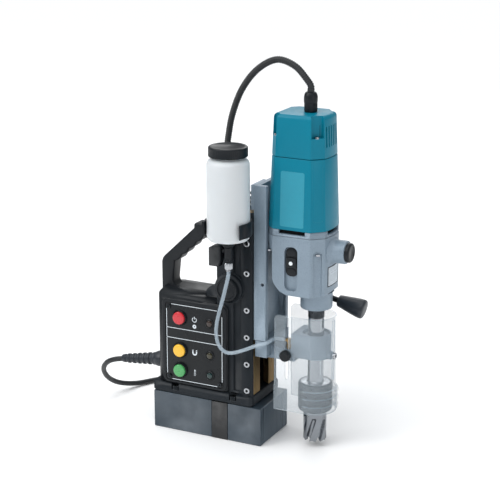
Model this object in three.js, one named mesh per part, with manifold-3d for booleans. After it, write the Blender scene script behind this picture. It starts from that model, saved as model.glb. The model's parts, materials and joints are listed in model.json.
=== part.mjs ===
// Magnetic drill press: magnet base, frame with control box, dovetail carriage with drill motor.
// Millimetres. Origin: centre of the magnet's bottom face. +X forward (towards the drill), +Z up.
import * as THREE from 'three';
import { mergeVertices } from 'three/addons/utils/BufferGeometryUtils.js';
import Module from 'manifold-3d';

const wasm = await Module();
wasm.setup();

// ---------- driving dimensions ----------
const GAP = 0.3;
const MAGNET = { length: 168, width: 87, height: 55 };
const COIL = { x0: 8.4, x1: 32.9, proud: 0.5 };
const FLANGE = { x0: -86, x1: 71, halfWidth: 44, top: 69.6 };
const COLUMN = { x0: 15, x1: 69, halfWidth: 38, top: 330 };
const CHANNEL = { x: 50, halfWidth: 33.5, slotX: 17, slotHalf: 10 };
const GIB = { mouth: 14, slope: 0.55, back: 57 };
const BOX = { x0: -80, x1: 33, halfDepth: 42, z0: 70, z1: 197, crown: 203, corner: 14, wall: 3 };
const PANEL = { x0: -62.9, x1: 26.9, z0: 75.4, z1: 189.3, thick: 1.3 };
const BUTTON = { x: -40.5, radius: 9, rows: [169.4, 121.7, 92] };
const LAMP = { x: 6.3, radius: 4.4, rows: [167.8, 120.9, 91.6] };
const PINION = { x: 35, z: 222, radius: 15, teeth: 15 };
const SADDLE = { x: 4, z: 201, radius: 15, half: 24, base: 204 };
const HANDLE = { halfDepth: 11, rear: -87, top: 298, inner: -69 };
const SLIDE = { x0: 69.8, x1: 87.7, halfWidth: 36, z0: 152, z1: 368, plate: 7, wall: 8 };
const DRILL = { x0: 88, x1: 168, halfWidth: 38, front: 15, rear: 10, bulge: 3 };
const GEARBOX = { z0: 223, z1: 304, ringTop: 313 };
const BOSS = { z: 282, x1: 190.5, radius: 15.8, bore: 10, cap: 13.2 };
const SELECTOR = { x0: 116, x1: 135, z0: 230, z1: 291, y: -33.5 };
const MOTOR = { z0: 313.3, seam: 410, top: 466, seamScale: 0.92, topScale: 0.87, wall: 3.2 };
const SPINDLE = { x: 146.5, radius: 8.7, arbor: 10.8, nose: 187, holder: 23.5, holderTop: 94 };
const CUTTER = { radius: 16, z0: 9, z1: 52.7, teeth: 6 };
const MOTOR_AXIS = 128.5;
const LAYSHAFT = { x: 137.5, y: 16.8 };
const BRACKET = { z0: 130, z1: 164, half: 21, bore: 11.2 };
const GUARD = { x0: 97, outer: 28, thick: 2, z0: 54, z1: 190, step: 89.5 };
const GUARD_RIBS = { count: 3, height: 8, pitch: 11, reach: 4 };
const GUARD_SLOTS = { x: 115.5, z0: 99, z1: 187.5, half: 2.3, studZ: 135, guideAngle: -5, guideHeight: 86 };
const BOTTLE = { x: 49.5, y: -70, radius: 28.7, z0: 300, shoulder: 402, top: 421 };
const BOTTLE_CAP = { radius: 26.1, bore: 21, z0: 412.6, z1: 426 };
const CLIP = { radius: 29.1, thick: 2.6, z0: 307, z1: 326.5, opening: 52 };
const TAP = { stem: 4, lever: 284 };
const FEED = { y: 48, tipY: 59, first: -13.5, rod: 4, neck: 123, tip: 163, knob0: 8.6, knob1: 13.6 };
const CORD = { radius: 3.75, exitX: -149.5, exitY: -14, exitZ: 81 };
const COILED = { x: -50, y: 112, inner: 33, outer: 55.5, height: 22.5 };
const HOSE_RADIUS = 2.6;
const CONDUIT = { x: 4, radius: 4.7, exitZ: 318, topZ: 493 };

// ---------- materials ----------
const paint = (color, roughness, metalness) =>
  new THREE.MeshStandardMaterial({ color, roughness, metalness });
const castBlack = paint(0x2b3236, 0.45, 0.1);
const blackPlastic = paint(0x1d2124, 0.4, 0.0);
const magnetSteel = paint(0x41505c, 0.4, 0.6);
const resin = paint(0x17191b, 0.6, 0.0);
const brass = paint(0xb0966a, 0.35, 0.8);
const silverPaint = paint(0x9dafbd, 0.4, 0.3);
const teal = paint(0x007a94, 0.35, 0.0);
const steel = paint(0xb9bec2, 0.25, 0.9);
const darkSteel = paint(0x50565a, 0.35, 0.8);
const rubber = paint(0x202325, 0.75, 0.0);
const bottleWhite = paint(0xdde6ea, 0.4, 0.0);
const clearPlastic = new THREE.MeshStandardMaterial(
  { color: 0xdfe8ee, roughness: 0.15, transparent: true, opacity: 0.4 });
const copper = paint(0xa56238, 0.4, 0.8);
const boardGreen = paint(0x1f5a3a, 0.5, 0.0);
const red = paint(0xc4323c, 0.4, 0.0);
const yellow = paint(0xf2c24a, 0.4, 0.0);
const green = paint(0x5aaa6e, 0.4, 0.0);
const amberLens = paint(0x3a2f18, 0.2, 0.0);
const yellowLens = paint(0x4a4a20, 0.2, 0.0);
const greenLens = paint(0x1f4038, 0.2, 0.0);

// ---------- solids ----------
function solid(geometry) {
  const bare = geometry.clone();
  bare.deleteAttribute('normal');
  bare.deleteAttribute('uv');
  const merged = mergeVertices(bare, 1e-4);
  const vertProperties = new Float32Array(merged.attributes.position.array);
  const triVerts = new Uint32Array(merged.index.array);
  return new wasm.Manifold(new wasm.Mesh({ numProp: 3, vertProperties, triVerts }));
}

function geometryOf(shape) {
  const mesh = shape.getMesh();
  const geometry = new THREE.BufferGeometry();
  geometry.setAttribute('position', new THREE.BufferAttribute(mesh.vertProperties, 3));
  geometry.setIndex(new THREE.BufferAttribute(mesh.triVerts, 1));
  geometry.computeVertexNormals();
  return geometry;
}

const join = (...parts) => parts.reduce((sum, part) => sum.add(part));
const cut = (body, ...tools) => tools.reduce((rest, tool) => rest.subtract(tool), body);

function block(x0, x1, y0, y1, z0, z1) {
  const geometry = new THREE.BoxGeometry(x1 - x0, y1 - y0, z1 - z0);
  geometry.translate((x0 + x1) / 2, (y0 + y1) / 2, (z0 + z1) / 2);
  return solid(geometry);
}

// A round bar along an axis, from a to b, with an optional second radius at b.
function bar(axis, p, q, a, b, radius, sides = 20, endRadius = radius) {
  const geometry = new THREE.CylinderGeometry(endRadius, radius, b - a, sides);
  geometry.translate(0, (a + b) / 2, 0);
  if (axis === 'x') {
    geometry.rotateZ(-Math.PI / 2);
    geometry.translate(0, p, q);
  }
  if (axis === 'y') geometry.translate(p, 0, q);
  if (axis === 'z') {
    geometry.rotateX(Math.PI / 2);
    geometry.translate(p, q, 0);
  }
  return solid(geometry);
}

function outline(points) {
  return new THREE.Shape(points.map(([u, v]) => new THREE.Vector2(u, v)));
}

// An outline in X and Y, raised from z0 to z1, with an optional rounded edge.
function raise(shape, z0, z1, edge = 0, curveSegments = 4) {
  const geometry = new THREE.ExtrudeGeometry(shape, {
    depth: z1 - z0 - 2 * edge, bevelEnabled: edge > 0, bevelThickness: edge, bevelSize: edge,
    bevelOffset: -edge, bevelSegments: 1, curveSegments,
  });
  geometry.translate(0, 0, z0 + edge);
  return geometry;
}

// An outline in X and Z, spread from y0 to y1.
function spread(shape, y0, y1, edge = 0, curveSegments = 4) {
  const geometry = raise(shape, -y1, -y0, edge, curveSegments);
  geometry.rotateX(Math.PI / 2);
  return geometry;
}

function roundedRect(x0, x1, y0, y1, r) {
  const shape = new THREE.Shape();
  shape.moveTo(x0 + r, y0);
  shape.lineTo(x1 - r, y0);
  shape.absarc(x1 - r, y0 + r, r, -Math.PI / 2, 0);
  shape.lineTo(x1, y1 - r);
  shape.absarc(x1 - r, y1 - r, r, 0, Math.PI / 2);
  shape.lineTo(x0 + r, y1);
  shape.absarc(x0 + r, y1 - r, r, Math.PI / 2, Math.PI);
  shape.lineTo(x0, y0 + r);
  shape.absarc(x0 + r, y0 + r, r, Math.PI, 1.5 * Math.PI);
  return shape;
}

// A turned piece about Y, from a profile of radius and height that is run counterclockwise.
function lathe(points, sides) {
  const profile = points.map(([r, s]) => new THREE.Vector2(r, s));
  if (THREE.ShapeUtils.area(profile) < 0) profile.reverse();
  return new THREE.LatheGeometry(profile, sides);
}

// A turned piece standing on Z at (x, y).
function turned(points, x, y, sides = 24) {
  const geometry = lathe(points, sides);
  geometry.rotateX(Math.PI / 2);
  geometry.translate(x, y, 0);
  return geometry;
}

// Scales X and Y about the motor axis, from 1 at z0 to the given scale at z1.
function taper(geometry, z0, z1, startScale, endScale) {
  const position = geometry.attributes.position;
  for (let i = 0; i < position.count; i += 1) {
    const share = THREE.MathUtils.clamp((position.getZ(i) - z0) / (z1 - z0), 0, 1);
    const scale = THREE.MathUtils.lerp(startScale, endScale, share);
    position.setX(i, MOTOR_AXIS + (position.getX(i) - MOTOR_AXIS) * scale);
    position.setY(i, position.getY(i) * scale);
  }
  return geometry;
}

function tube(points, radius, steps, sides = 10) {
  const path = new THREE.CatmullRomCurve3(points.map((p) => new THREE.Vector3(...p)));
  const section = new THREE.Shape();
  section.absarc(0, 0, radius, 0, 2 * Math.PI);
  const circle = new THREE.Shape(section.getPoints(sides).slice(0, sides));
  return new THREE.ExtrudeGeometry(circle, { steps, bevelEnabled: false, extrudePath: path });
}

const press = new THREE.Group();

function add(name, shape, material) {
  const geometry = shape instanceof THREE.BufferGeometry ? shape : geometryOf(shape);
  const mesh = new THREE.Mesh(geometry, material);
  mesh.name = name;
  press.add(mesh);
  return mesh;
}

// ---------- magnet base ----------
function buildMagnet() {
  const rear = -MAGNET.length / 2;
  const half = MAGNET.width / 2;
  const poles = [
    ['magnet_rear_pole', rear, COIL.x0 - GAP],
    ['magnet_front_pole', COIL.x1 + GAP, -rear],
  ];
  for (const [name, x0, x1] of poles) {
    const shape = outline([[x0, -half], [x1, -half], [x1, half], [x0, half]]);
    add(name, raise(shape, 0, MAGNET.height, 0.8), magnetSteel);
  }
  const side = half + COIL.proud;
  add('magnet_coil', block(COIL.x0, COIL.x1, -side, side, 0.4, MAGNET.height - 0.4), resin);
}

// ---------- frame ----------
const gibEdge = (x) => GIB.mouth + GIB.slope * (COLUMN.x1 - GAP - x);

function buildFrame() {
  const flangeShape = roundedRect(FLANGE.x0, FLANGE.x1, -FLANGE.halfWidth, FLANGE.halfWidth, 6);
  const flange = solid(raise(flangeShape, MAGNET.height + GAP, FLANGE.top, 1.6, 3));
  const { x0, x1, halfWidth, top } = COLUMN;
  const column = block(x0, x1, -halfWidth, halfWidth, FLANGE.top - 1, top);
  const boss = bar('y', PINION.x, PINION.z, -44, 42, 20.6, 28);
  const saddle = cut(bar('y', SADDLE.x, SADDLE.z, -SADDLE.half, SADDLE.half, SADDLE.radius, 32),
    block(-30, 30, -30, 30, 150, SADDLE.base));
  const saddleFoot = block(-9, x0 + 1, -SADDLE.half, SADDLE.half, BOX.crown - 4, SADDLE.base + 2);
  const body = join(flange, column, boss, saddle, saddleFoot);
  const tools = [
    block(CHANNEL.x, x1 + 5, -CHANNEL.halfWidth, CHANNEL.halfWidth, FLANGE.top, top + 1),
    block(CHANNEL.slotX, CHANNEL.x + 1, -CHANNEL.slotHalf, CHANNEL.slotHalf, 90, top - 12),
    bar('y', PINION.x, PINION.z, -60, 60, 8.4, 24),
  ];
  for (const side of [-1, 1]) {
    const y0 = side < 0 ? -halfWidth - 9 : halfWidth - 3;
    tools.push(cut(block(39.5, 52, y0, y0 + 12, 74, top - 8),
      bar('y', PINION.x, PINION.z, -60, 60, 22, 28)));
    for (const x of [-49.6, 41]) {
      tools.push(bar('z', x, side * 40.5, MAGNET.height + 5.5, FLANGE.top + 1, 6.4, 20));
    }
  }
  add('main_frame', cut(body, ...tools), castBlack);
  for (const [name, side] of [['gib_left', -1], ['gib_right', 1]]) {
    const outer = CHANNEL.halfWidth - GAP;
    const front = x1 - GAP;
    const shape = outline([
      [front, side * outer], [front, side * gibEdge(front)],
      [GIB.back, side * gibEdge(GIB.back)], [GIB.back, side * outer]]);
    add(name, raise(shape, FLANGE.top + 0.7, top - GAP), brass);
  }
  const screwRows = [288, 246, 194, 155, 116, 77.5];
  screwRows.forEach((z, i) => {
    const nut = bar('y', 61.5, z, -COLUMN.halfWidth - 3, -COLUMN.halfWidth - GAP, 4.4, 12);
    const socket = bar('y', 61.5, z, -COLUMN.halfWidth - 4, -COLUMN.halfWidth - 1.4, 2.2, 6);
    add(`gib_screw_${i + 1}`, cut(nut, socket), steel);
  });
  const cover = bar('y', PINION.x, PINION.z, -50.4, -44.3, 16.3, 24);
  const dimple = bar('y', PINION.x, PINION.z, -51, -48.2, 4, 16);
  const rim = cut(bar('y', PINION.x, PINION.z, -51, -49.4, 18, 32),
    bar('y', PINION.x, PINION.z, -52, -49, 13, 32));
  add('pinion_cover', cut(cover, dimple, cut(rim, bar('y', PINION.x, PINION.z, -52, -40, 14.2, 32))),
    blackPlastic);
}

// ---------- control box ----------
function boxEnvelope(grow) {
  const plan = roundedRect(BOX.x0 - grow, COLUMN.x0 - GAP + grow, -BOX.halfDepth - grow,
    BOX.halfDepth + grow, BOX.corner);
  const body = solid(raise(plan, BOX.z0 - grow, BOX.crown + grow + 1, 0, 6));
  const y = BOX.halfDepth + grow;
  const roof = outline([
    [-y, BOX.z0 - grow], [y, BOX.z0 - grow], [y, BOX.z1 - 5 + grow], [y - 5, BOX.z1 + grow],
    [12, BOX.crown + grow], [-12, BOX.crown + grow], [-y + 5, BOX.z1 + grow], [-y, BOX.z1 - 5 + grow]]);
  const gable = raise(roof, BOX.x0 - 10, BOX.x1 + 20);
  gable.rotateX(Math.PI / 2);
  gable.rotateZ(Math.PI / 2);
  return body.intersect(solid(gable));
}

function buildControlBox() {
  const wing = solid(spread(roundedRect(-10, BOX.x1, BOX.z0, BOX.z1 - 1, 6),
    -BOX.halfDepth, -COLUMN.halfWidth - GAP, 1.2));
  const wall = BOX.wall;
  const hollow = block(BOX.x0 + wall + 2, COLUMN.x0 - wall - 2, -BOX.halfDepth + wall + 1,
    BOX.halfDepth - wall - 1, BOX.z0 + wall, BOX.z1 - wall - 4);
  const shell = cut(join(boxEnvelope(0), wing), hollow, ...[
    ...BUTTON.rows.map((z) => bar('y', BUTTON.x, z, -60, -30, 6, 16)),
    ...LAMP.rows.map((z) => bar('y', LAMP.x, z, -60, -30, 3.2, 12)),
  ]);
  const gap = 0.4;
  const side = SADDLE.half + gap;
  const saddle = bar('y', SADDLE.x, SADDLE.z, -side, side, SADDLE.radius + gap, 32);
  const saddleFoot = block(-9 - gap, COLUMN.x0 + 1, -side, side, BOX.crown - 4 - gap, BOX.crown + 7);
  add('control_box', cut(shell, saddle, saddleFoot), castBlack);

  const front = -BOX.halfDepth - GAP;
  const face = front - PANEL.thick;
  let panel = solid(spread(roundedRect(PANEL.x0, PANEL.x1, PANEL.z0, PANEL.z1, 4), face, front));
  for (const z of BUTTON.rows) {
    panel = panel.add(bar('y', BUTTON.x, z, face - 3, front - 0.4, 11.6, 20));
    panel = panel.subtract(bar('y', BUTTON.x, z, face - 5, front + 1, BUTTON.radius + 0.4, 20));
  }
  for (const z of LAMP.rows) {
    panel = panel.add(bar('y', LAMP.x, z, face - 2, front - 0.4, 7.2, 14));
    panel = panel.subtract(bar('y', LAMP.x, z, face - 5, front + 1, LAMP.radius + 0.4, 14));
  }
  add('control_panel', panel, blackPlastic);
  const buttons = [['button_power', red], ['button_magnet', yellow], ['button_drill', green]];
  buttons.forEach(([name, color], i) => {
    const z = BUTTON.rows[i];
    const head = bar('y', BUTTON.x, z, face - 4.6, face - 0.4, BUTTON.radius, 20);
    const dome = bar('y', BUTTON.x, z, face - 5.6, face - 4.6, BUTTON.radius - 1.2, 20,
      BUTTON.radius);
    const stem = bar('y', BUTTON.x, z, face - 1, -BOX.halfDepth + 5, 5, 12);
    add(name, join(head, dome, stem), color);
  });
  const lamps = [['lamp_power', amberLens], ['lamp_magnet', yellowLens], ['lamp_drill', greenLens]];
  lamps.forEach(([name, color], i) => {
    const z = LAMP.rows[i];
    const lens = bar('y', LAMP.x, z, face - 2.6, face - 0.2, LAMP.radius, 14);
    const tail = bar('y', LAMP.x, z, face - 0.4, -BOX.halfDepth + 6, 2.6, 12);
    add(name, join(lens, tail), color);
  });
  const board = block(-66, 4, -BOX.halfDepth + 12, -BOX.halfDepth + 13.6, 80, 184);
  const relay = block(-58, -34, -BOX.halfDepth + 13, -BOX.halfDepth + 30, 132, 160);
  const capacitor = bar('y', -16, 108, -BOX.halfDepth + 13, -BOX.halfDepth + 40, 10, 20);
  add('circuit_board', join(board, relay, capacitor), boardGreen);
}

// ---------- carry handle ----------
function buildHandle() {
  const { halfDepth, rear, top, inner } = HANDLE;
  const gripStart = new THREE.Vector2(-20, 281);
  const gripEnd = new THREE.Vector2(-66, 239);
  const fingers = 4;
  const stepsPerFinger = 4;
  const along = gripEnd.clone().sub(gripStart);
  const outward = new THREE.Vector2(along.y, -along.x).normalize();
  const shape = new THREE.Shape();
  shape.moveTo(COLUMN.x0 - GAP, top);
  shape.lineTo(-32, top);
  shape.quadraticCurveTo(-35, top, -35, top - 3);
  shape.lineTo(-35, 290.5);
  shape.lineTo(-77, 250);
  shape.quadraticCurveTo(rear, 241, rear, 229);
  shape.lineTo(rear, 184);
  shape.quadraticCurveTo(rear, 178, rear + 6, 178);
  shape.lineTo(-46, 178);
  shape.lineTo(-46, 200);
  shape.lineTo(-52, 199);
  shape.quadraticCurveTo(inner, 205, inner, 216);
  shape.lineTo(inner, 232);
  shape.quadraticCurveTo(inner, 236, gripEnd.x, gripEnd.y);
  const count = fingers * stepsPerFinger;
  for (let i = count - 1; i > 0; i -= 1) {
    const share = i / count;
    const depth = 2.4 * Math.abs(Math.sin(share * fingers * Math.PI));
    const point = gripStart.clone().addScaledVector(along, share).addScaledVector(outward, -depth);
    shape.lineTo(point.x, point.y);
  }
  shape.lineTo(gripStart.x, gripStart.y);
  shape.lineTo(-14, 278);
  shape.lineTo(COLUMN.x0 - GAP, 278);
  const grip = solid(spread(shape, -halfDepth, halfDepth, 2, 4));
  add('carry_handle', grip.subtract(boxEnvelope(GAP)), castBlack);

  const gland = join(
    bar('z', CONDUIT.x, 0, top + GAP, top + 9, 9.4, 6),
    bar('z', CONDUIT.x, 0, top + 8.5, CONDUIT.exitZ - 0.4, 8.2, 24, 6.6));
  add('conduit_gland_lower', gland, blackPlastic);
}

// ---------- coolant bottle, clip and tap ----------
function buildCoolant() {
  const { x, y, radius, z0, shoulder, top } = BOTTLE;
  add('coolant_bottle', turned([
    [0, z0], [radius - 6, z0], [radius - 2, z0 + 2], [radius, z0 + 7], [radius, shoulder],
    [radius - 1.4, shoulder + 5], [radius - 5, shoulder + 8], [20.5, shoulder + 8.3], [20.5, top],
    [18.6, top], [18.6, shoulder + 6.4], [radius - 6, shoulder + 5.6], [radius - 2, shoulder],
    [radius - 2, z0 + 8], [radius - 3.6, z0 + 4], [radius - 7, z0 + 2], [0, z0 + 2]], x, y, 28),
    bottleWhite);
  const cap = BOTTLE_CAP;
  add('bottle_cap', turned([
    [cap.bore, cap.z0], [cap.radius - 0.8, cap.z0], [cap.radius, cap.z0 + 1], [cap.radius, cap.z1 - 1.4],
    [cap.radius - 1.3, cap.z1], [0, cap.z1], [0, cap.z1 - 2.5], [cap.bore, cap.z1 - 2.5],
    [cap.bore, cap.z0]], x, y, 28), blackPlastic);

  const { thick, z0: clip0, z1: clip1, opening } = CLIP;
  const open = THREE.MathUtils.degToRad(opening);
  const from = -Math.PI / 2 + open;
  const to = 1.5 * Math.PI - open;
  const outer = CLIP.radius + thick;
  const band = new THREE.Shape();
  band.absarc(x, y, outer, from, to);
  band.lineTo(x + (outer + 3) * Math.cos(to), y + (outer + 3) * Math.sin(to));
  band.lineTo(x + (outer + 3) * Math.cos(to + 0.09), y + (outer + 3) * Math.sin(to + 0.09));
  band.absarc(x, y, CLIP.radius, to + 0.09, from - 0.09, true);
  band.lineTo(x + (outer + 3) * Math.cos(from - 0.09), y + (outer + 3) * Math.sin(from - 0.09));
  band.lineTo(x + (outer + 3) * Math.cos(from), y + (outer + 3) * Math.sin(from));
  const ring = solid(raise(band, clip0, clip1, 0, 20));
  const pad = cut(block(x - 12, x + 12, y + 20, -COLUMN.halfWidth - GAP, clip0 + 2, clip1 - 2),
    bar('z', x, y, clip0, clip1, CLIP.radius + 0.4, 28));
  add('bottle_clip', join(ring, pad), blackPlastic);

  const stem = bar('z', x, y, 268.6, z0 - GAP, TAP.stem, 20);
  const collar = bar('z', x, y, 291, z0 - GAP, 8, 24);
  const pivot = bar('x', y, TAP.lever, x - 8.7, x, 3, 16);
  add('tap_body', join(stem, collar, pivot), blackPlastic);
  const leverShape = outline([[-27, 3], [-22, 6], [-9, 7], [-9, -12], [-12, -22], [-27, -22]]);
  const lever = spread(leverShape, y - 6, y + 6, 1);
  lever.translate(x, 0, TAP.lever);
  add('tap_lever', lever, blackPlastic);
  add('hose_nut', join(
    bar('z', x, y, 259.5, 268.2, 5.9, 6),
    bar('z', x, y, 256.4, 260, 3.9, 18)), steel);
}

// ---------- carriage slide ----------
function buildSlide() {
  const { x0, x1, halfWidth, z0, z1, plate, wall } = SLIDE;
  const channel = outline([
    [x0, -halfWidth], [x1, -halfWidth], [x1, -halfWidth + wall], [x0 + plate, -halfWidth + wall],
    [x0 + plate, halfWidth - wall], [x1, halfWidth - wall], [x1, halfWidth], [x0, halfWidth]]);
  const inside = (x) => gibEdge(x) - 0.45;
  const back = GIB.back + 0.4;
  const dovetail = outline([
    [x0 + 1, -inside(x0)], [x0 + 1, inside(x0)], [x0, inside(x0)], [back, inside(back)],
    [back, -inside(back)], [x0, -inside(x0)]]);
  const body = join(solid(raise(channel, z0, z1)), solid(raise(dovetail, z0, z1 - 4)));
  const cheek = halfWidth - wall;
  const gussets = [[cheek - 0.1, cheek + 1], [-cheek - 1, -cheek + 0.1]].map(([y0, y1]) => solid(spread(
    outline([[x0 + plate, z0], [x1, z0], [x1, z0 + 8], [x0 + plate, z0 + 46]]), y0, y1)));
  const mountHole = bar('y', x1 - 5, 232, -halfWidth - 1, -cheek + 1, 2.6, 16);
  add('carriage_slide', cut(join(body, ...gussets), mountHole), silverPaint);

  const pitch = 2 * Math.PI * PINION.radius / PINION.teeth;
  const tips = PINION.x + PINION.radius + 0.4;
  const rackBack = back - GAP;
  const rackStart = 158;
  const count = Math.floor((z1 - 12 - rackStart) / pitch);
  const rack = new THREE.Shape();
  rack.moveTo(rackBack, rackStart);
  for (let i = 0; i < count; i += 1) {
    const z = rackStart + i * pitch;
    rack.lineTo(tips + 2.4, z + 0.05 * pitch);
    rack.lineTo(tips, z + 0.3 * pitch);
    rack.lineTo(tips, z + 0.7 * pitch);
    rack.lineTo(tips + 2.4, z + 0.95 * pitch);
  }
  rack.lineTo(rackBack, rackStart + count * pitch);
  add('feed_rack', spread(rack, -8, 8), darkSteel);
}

// ---------- drill: gearbox, motor, bracket ----------
function drillPlan(inset = 0) {
  const x0 = DRILL.x0 + inset;
  const x1 = DRILL.x1 - inset;
  const y = DRILL.halfWidth - inset;
  const { front, rear, bulge } = DRILL;
  const shape = new THREE.Shape();
  shape.moveTo(x0 + rear, -y);
  shape.lineTo(x1 - front, -y);
  shape.lineTo(x1, -y + front);
  shape.quadraticCurveTo(x1 + 2 * bulge, 0, x1, y - front);
  shape.lineTo(x1 - front, y);
  shape.lineTo(x0 + rear, y);
  shape.lineTo(x0, y - rear);
  shape.lineTo(x0, -y + rear);
  return shape;
}

// The middles of the four chamfered corners, the front pair first, moved in towards the axis.
function cornerSpots(inset) {
  const c = DRILL.front / 2;
  const front = [DRILL.x1 - c - inset, DRILL.halfWidth - c - inset];
  const rear = [DRILL.x0 + DRILL.rear / 2 + inset, DRILL.halfWidth - DRILL.rear / 2 - inset];
  return [[front[0], -front[1]], front, [rear[0], -rear[1]], rear];
}

function buildGearbox() {
  const { z0, z1, ringTop } = GEARBOX;
  const upper = solid(raise(drillPlan(), z0, z1 - GAP, 0, 6));
  const side = new THREE.Shape();
  side.moveTo(DRILL.x0 - 1, z1 + 1);
  side.lineTo(DRILL.x0 - 1, 284);
  side.lineTo(DRILL.x0 + 5, 281);
  side.lineTo(DRILL.x0 + 10, 244);
  side.quadraticCurveTo(DRILL.x0 + 16, z0 + 2, DRILL.x0 + 36, z0);
  side.lineTo(DRILL.x1 - 8, z0);
  side.quadraticCurveTo(DRILL.x1 + 6, z0 + 2, DRILL.x1 + 8, z0 + 12);
  side.lineTo(DRILL.x1 + 8, z1 + 1);
  const profile = solid(spread(side, -60, 60));
  const collar = bar('z', SPINDLE.x, 0, 200, z0 + 1, 21.8, 28);
  const boss = bar('x', 0, BOSS.z, DRILL.x1 - 6, BOSS.x1, BOSS.radius, 24);
  const cavity = solid(raise(outline([
    [94, -30], [152, -30], [163, -19], [163, 18], [149.5, 31.5], [94, 31.5]]), z0 + 6, z1 + 1));
  const { x0: recess0, x1: recess1, y: recessFloor } = SELECTOR;
  const selector = block(recess0, recess1, -60, recessFloor, SELECTOR.z0, SELECTOR.z1);
  const bore = bar('z', SPINDLE.x, 0, 190, z0 + 8, SPINDLE.radius + 0.5, 28);
  const socket = bar('x', 0, BOSS.z, 176, BOSS.x1 + 1.5, BOSS.bore, 24);
  let housing = join(upper.intersect(profile), collar, boss);
  housing = cut(housing, cavity, selector, bore, socket);
  for (const [x, y] of cornerSpots(-1.2).slice(0, 2)) {
    const post = bar('z', x, y, 284, z1 - GAP, 5, 12);
    housing = housing.add(post.subtract(cavity));
  }
  add('gearbox_housing', housing, silverPaint);
  const capBack = BOSS.x1 + GAP;
  add('boss_cap', join(
    bar('x', 0, BOSS.z, capBack, capBack + 3.8, BOSS.cap, 24),
    bar('x', 0, BOSS.z, capBack + 3.8, capBack + 5.8, BOSS.cap, 24, BOSS.cap - 1.8),
    bar('x', 0, BOSS.z, 178, capBack + 0.2, BOSS.bore - 0.4, 24)), blackPlastic);

  const ringBase = z1 + GAP;
  const ventBase = 307.5;
  let ring = solid(raise(drillPlan(0.4), ringBase, ringTop, 0, 6));
  ring = cut(ring, solid(raise(drillPlan(5), ringBase - 1, ringTop + 1, 0, 6)),
    block(107, 145, -60, -30, ventBase, ringTop + 1), block(107, 145, 30, 60, ventBase, ringTop + 1),
    block(150, 190, -17, 17, ventBase, ringTop + 1));
  add('vent_ring', ring, silverPaint);
  const slider = [
    spread(roundedRect(recess0 + 1.2, recess1 - 1.2, 250, 289, 7), recessFloor - 2.1, recessFloor - GAP),
    spread(roundedRect(recess0 + 2, recess1 - 2, 262, 276, 1.5), -38.2, -35.4, 0.6),
  ];
  const knob = bar('y', (recess0 + recess1) / 2, 268.5, -39.2, -38, 2.8, 16);
  add('speed_selector', join(solid(slider[0]), solid(slider[1]), knob), blackPlastic);
}

function buildMotor() {
  const { z0, seam, top, seamScale, topScale, wall } = MOTOR;
  const lower = solid(taper(raise(drillPlan(), z0, seam - GAP, 0, 6), z0, seam, 1, seamScale));
  const hollow = solid(taper(raise(drillPlan(wall), z0 - 1, seam + 1, 0, 6), z0, seam, 1, seamScale));
  let housing = cut(lower, hollow);
  const capGeometry = raise(drillPlan(), seam, top, 3, 6);
  let cap = solid(taper(capGeometry, seam, top, seamScale, topScale));
  cap = cut(cap, solid(taper(raise(drillPlan(wall), seam - 1, top - 6, 0, 6), seam, top,
    seamScale, topScale)));
  const screwLevel = 437;
  for (const [x, y] of cornerSpots(0)) {
    const seatX = MOTOR_AXIS + (x - MOTOR_AXIS) * 0.9;
    const seatY = y * 0.9;
    const pocket = solid(new THREE.BoxGeometry(16, 9, 40).rotateZ(
      Math.sign((x - MOTOR_AXIS) * y) * -Math.PI / 4).translate(seatX, seatY, screwLevel + 20));
    const post = bar('z', seatX, seatY, seam, screwLevel, 5.4, 12);
    cap = cap.add(post).subtract(pocket);
  }
  const vents = 6;
  for (let i = 0; i < vents; i += 1) {
    const y = -16 + i * 6;
    cap = cap.subtract(block(150, 190, y - 1.2, y + 1.2, 424, 452));
  }
  add('motor_housing', housing, teal);
  add('motor_end_cap', cap, teal);
  add('motor_gland', join(
    bar('z', SPINDLE.x - 11.8, 0, top + GAP, top + 13, 9.6, 6),
    bar('z', SPINDLE.x - 11.8, 0, top + 12.5, CONDUIT.topZ - 0.4, 9.1, 24)), blackPlastic);
  const stator = cut(bar('z', MOTOR_AXIS, 0, 326, 400, 32, 20),
    bar('z', MOTOR_AXIS, 0, 320, 402, 22, 20));
  add('motor_stator', stator, copper);
  const rotor = join(
    bar('z', MOTOR_AXIS, 0, 284, 452, 3.6, 16),
    bar('z', MOTOR_AXIS, 0, 328, 398, 20.5, 16),
    bar('z', MOTOR_AXIS, 0, 404, 420, 12, 14),
    bar('z', MOTOR_AXIS, 0, 284, 296, 4.6, 14));
  add('motor_rotor', rotor, darkSteel);
  add('layshaft', join(
    bar('z', LAYSHAFT.x, LAYSHAFT.y, 234, 300, 3.4, 16),
    bar('z', LAYSHAFT.x, LAYSHAFT.y, 285, 295, 14, 18),
    bar('z', LAYSHAFT.x, LAYSHAFT.y, 242, 262, 4.9, 20)), darkSteel);
}

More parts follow.
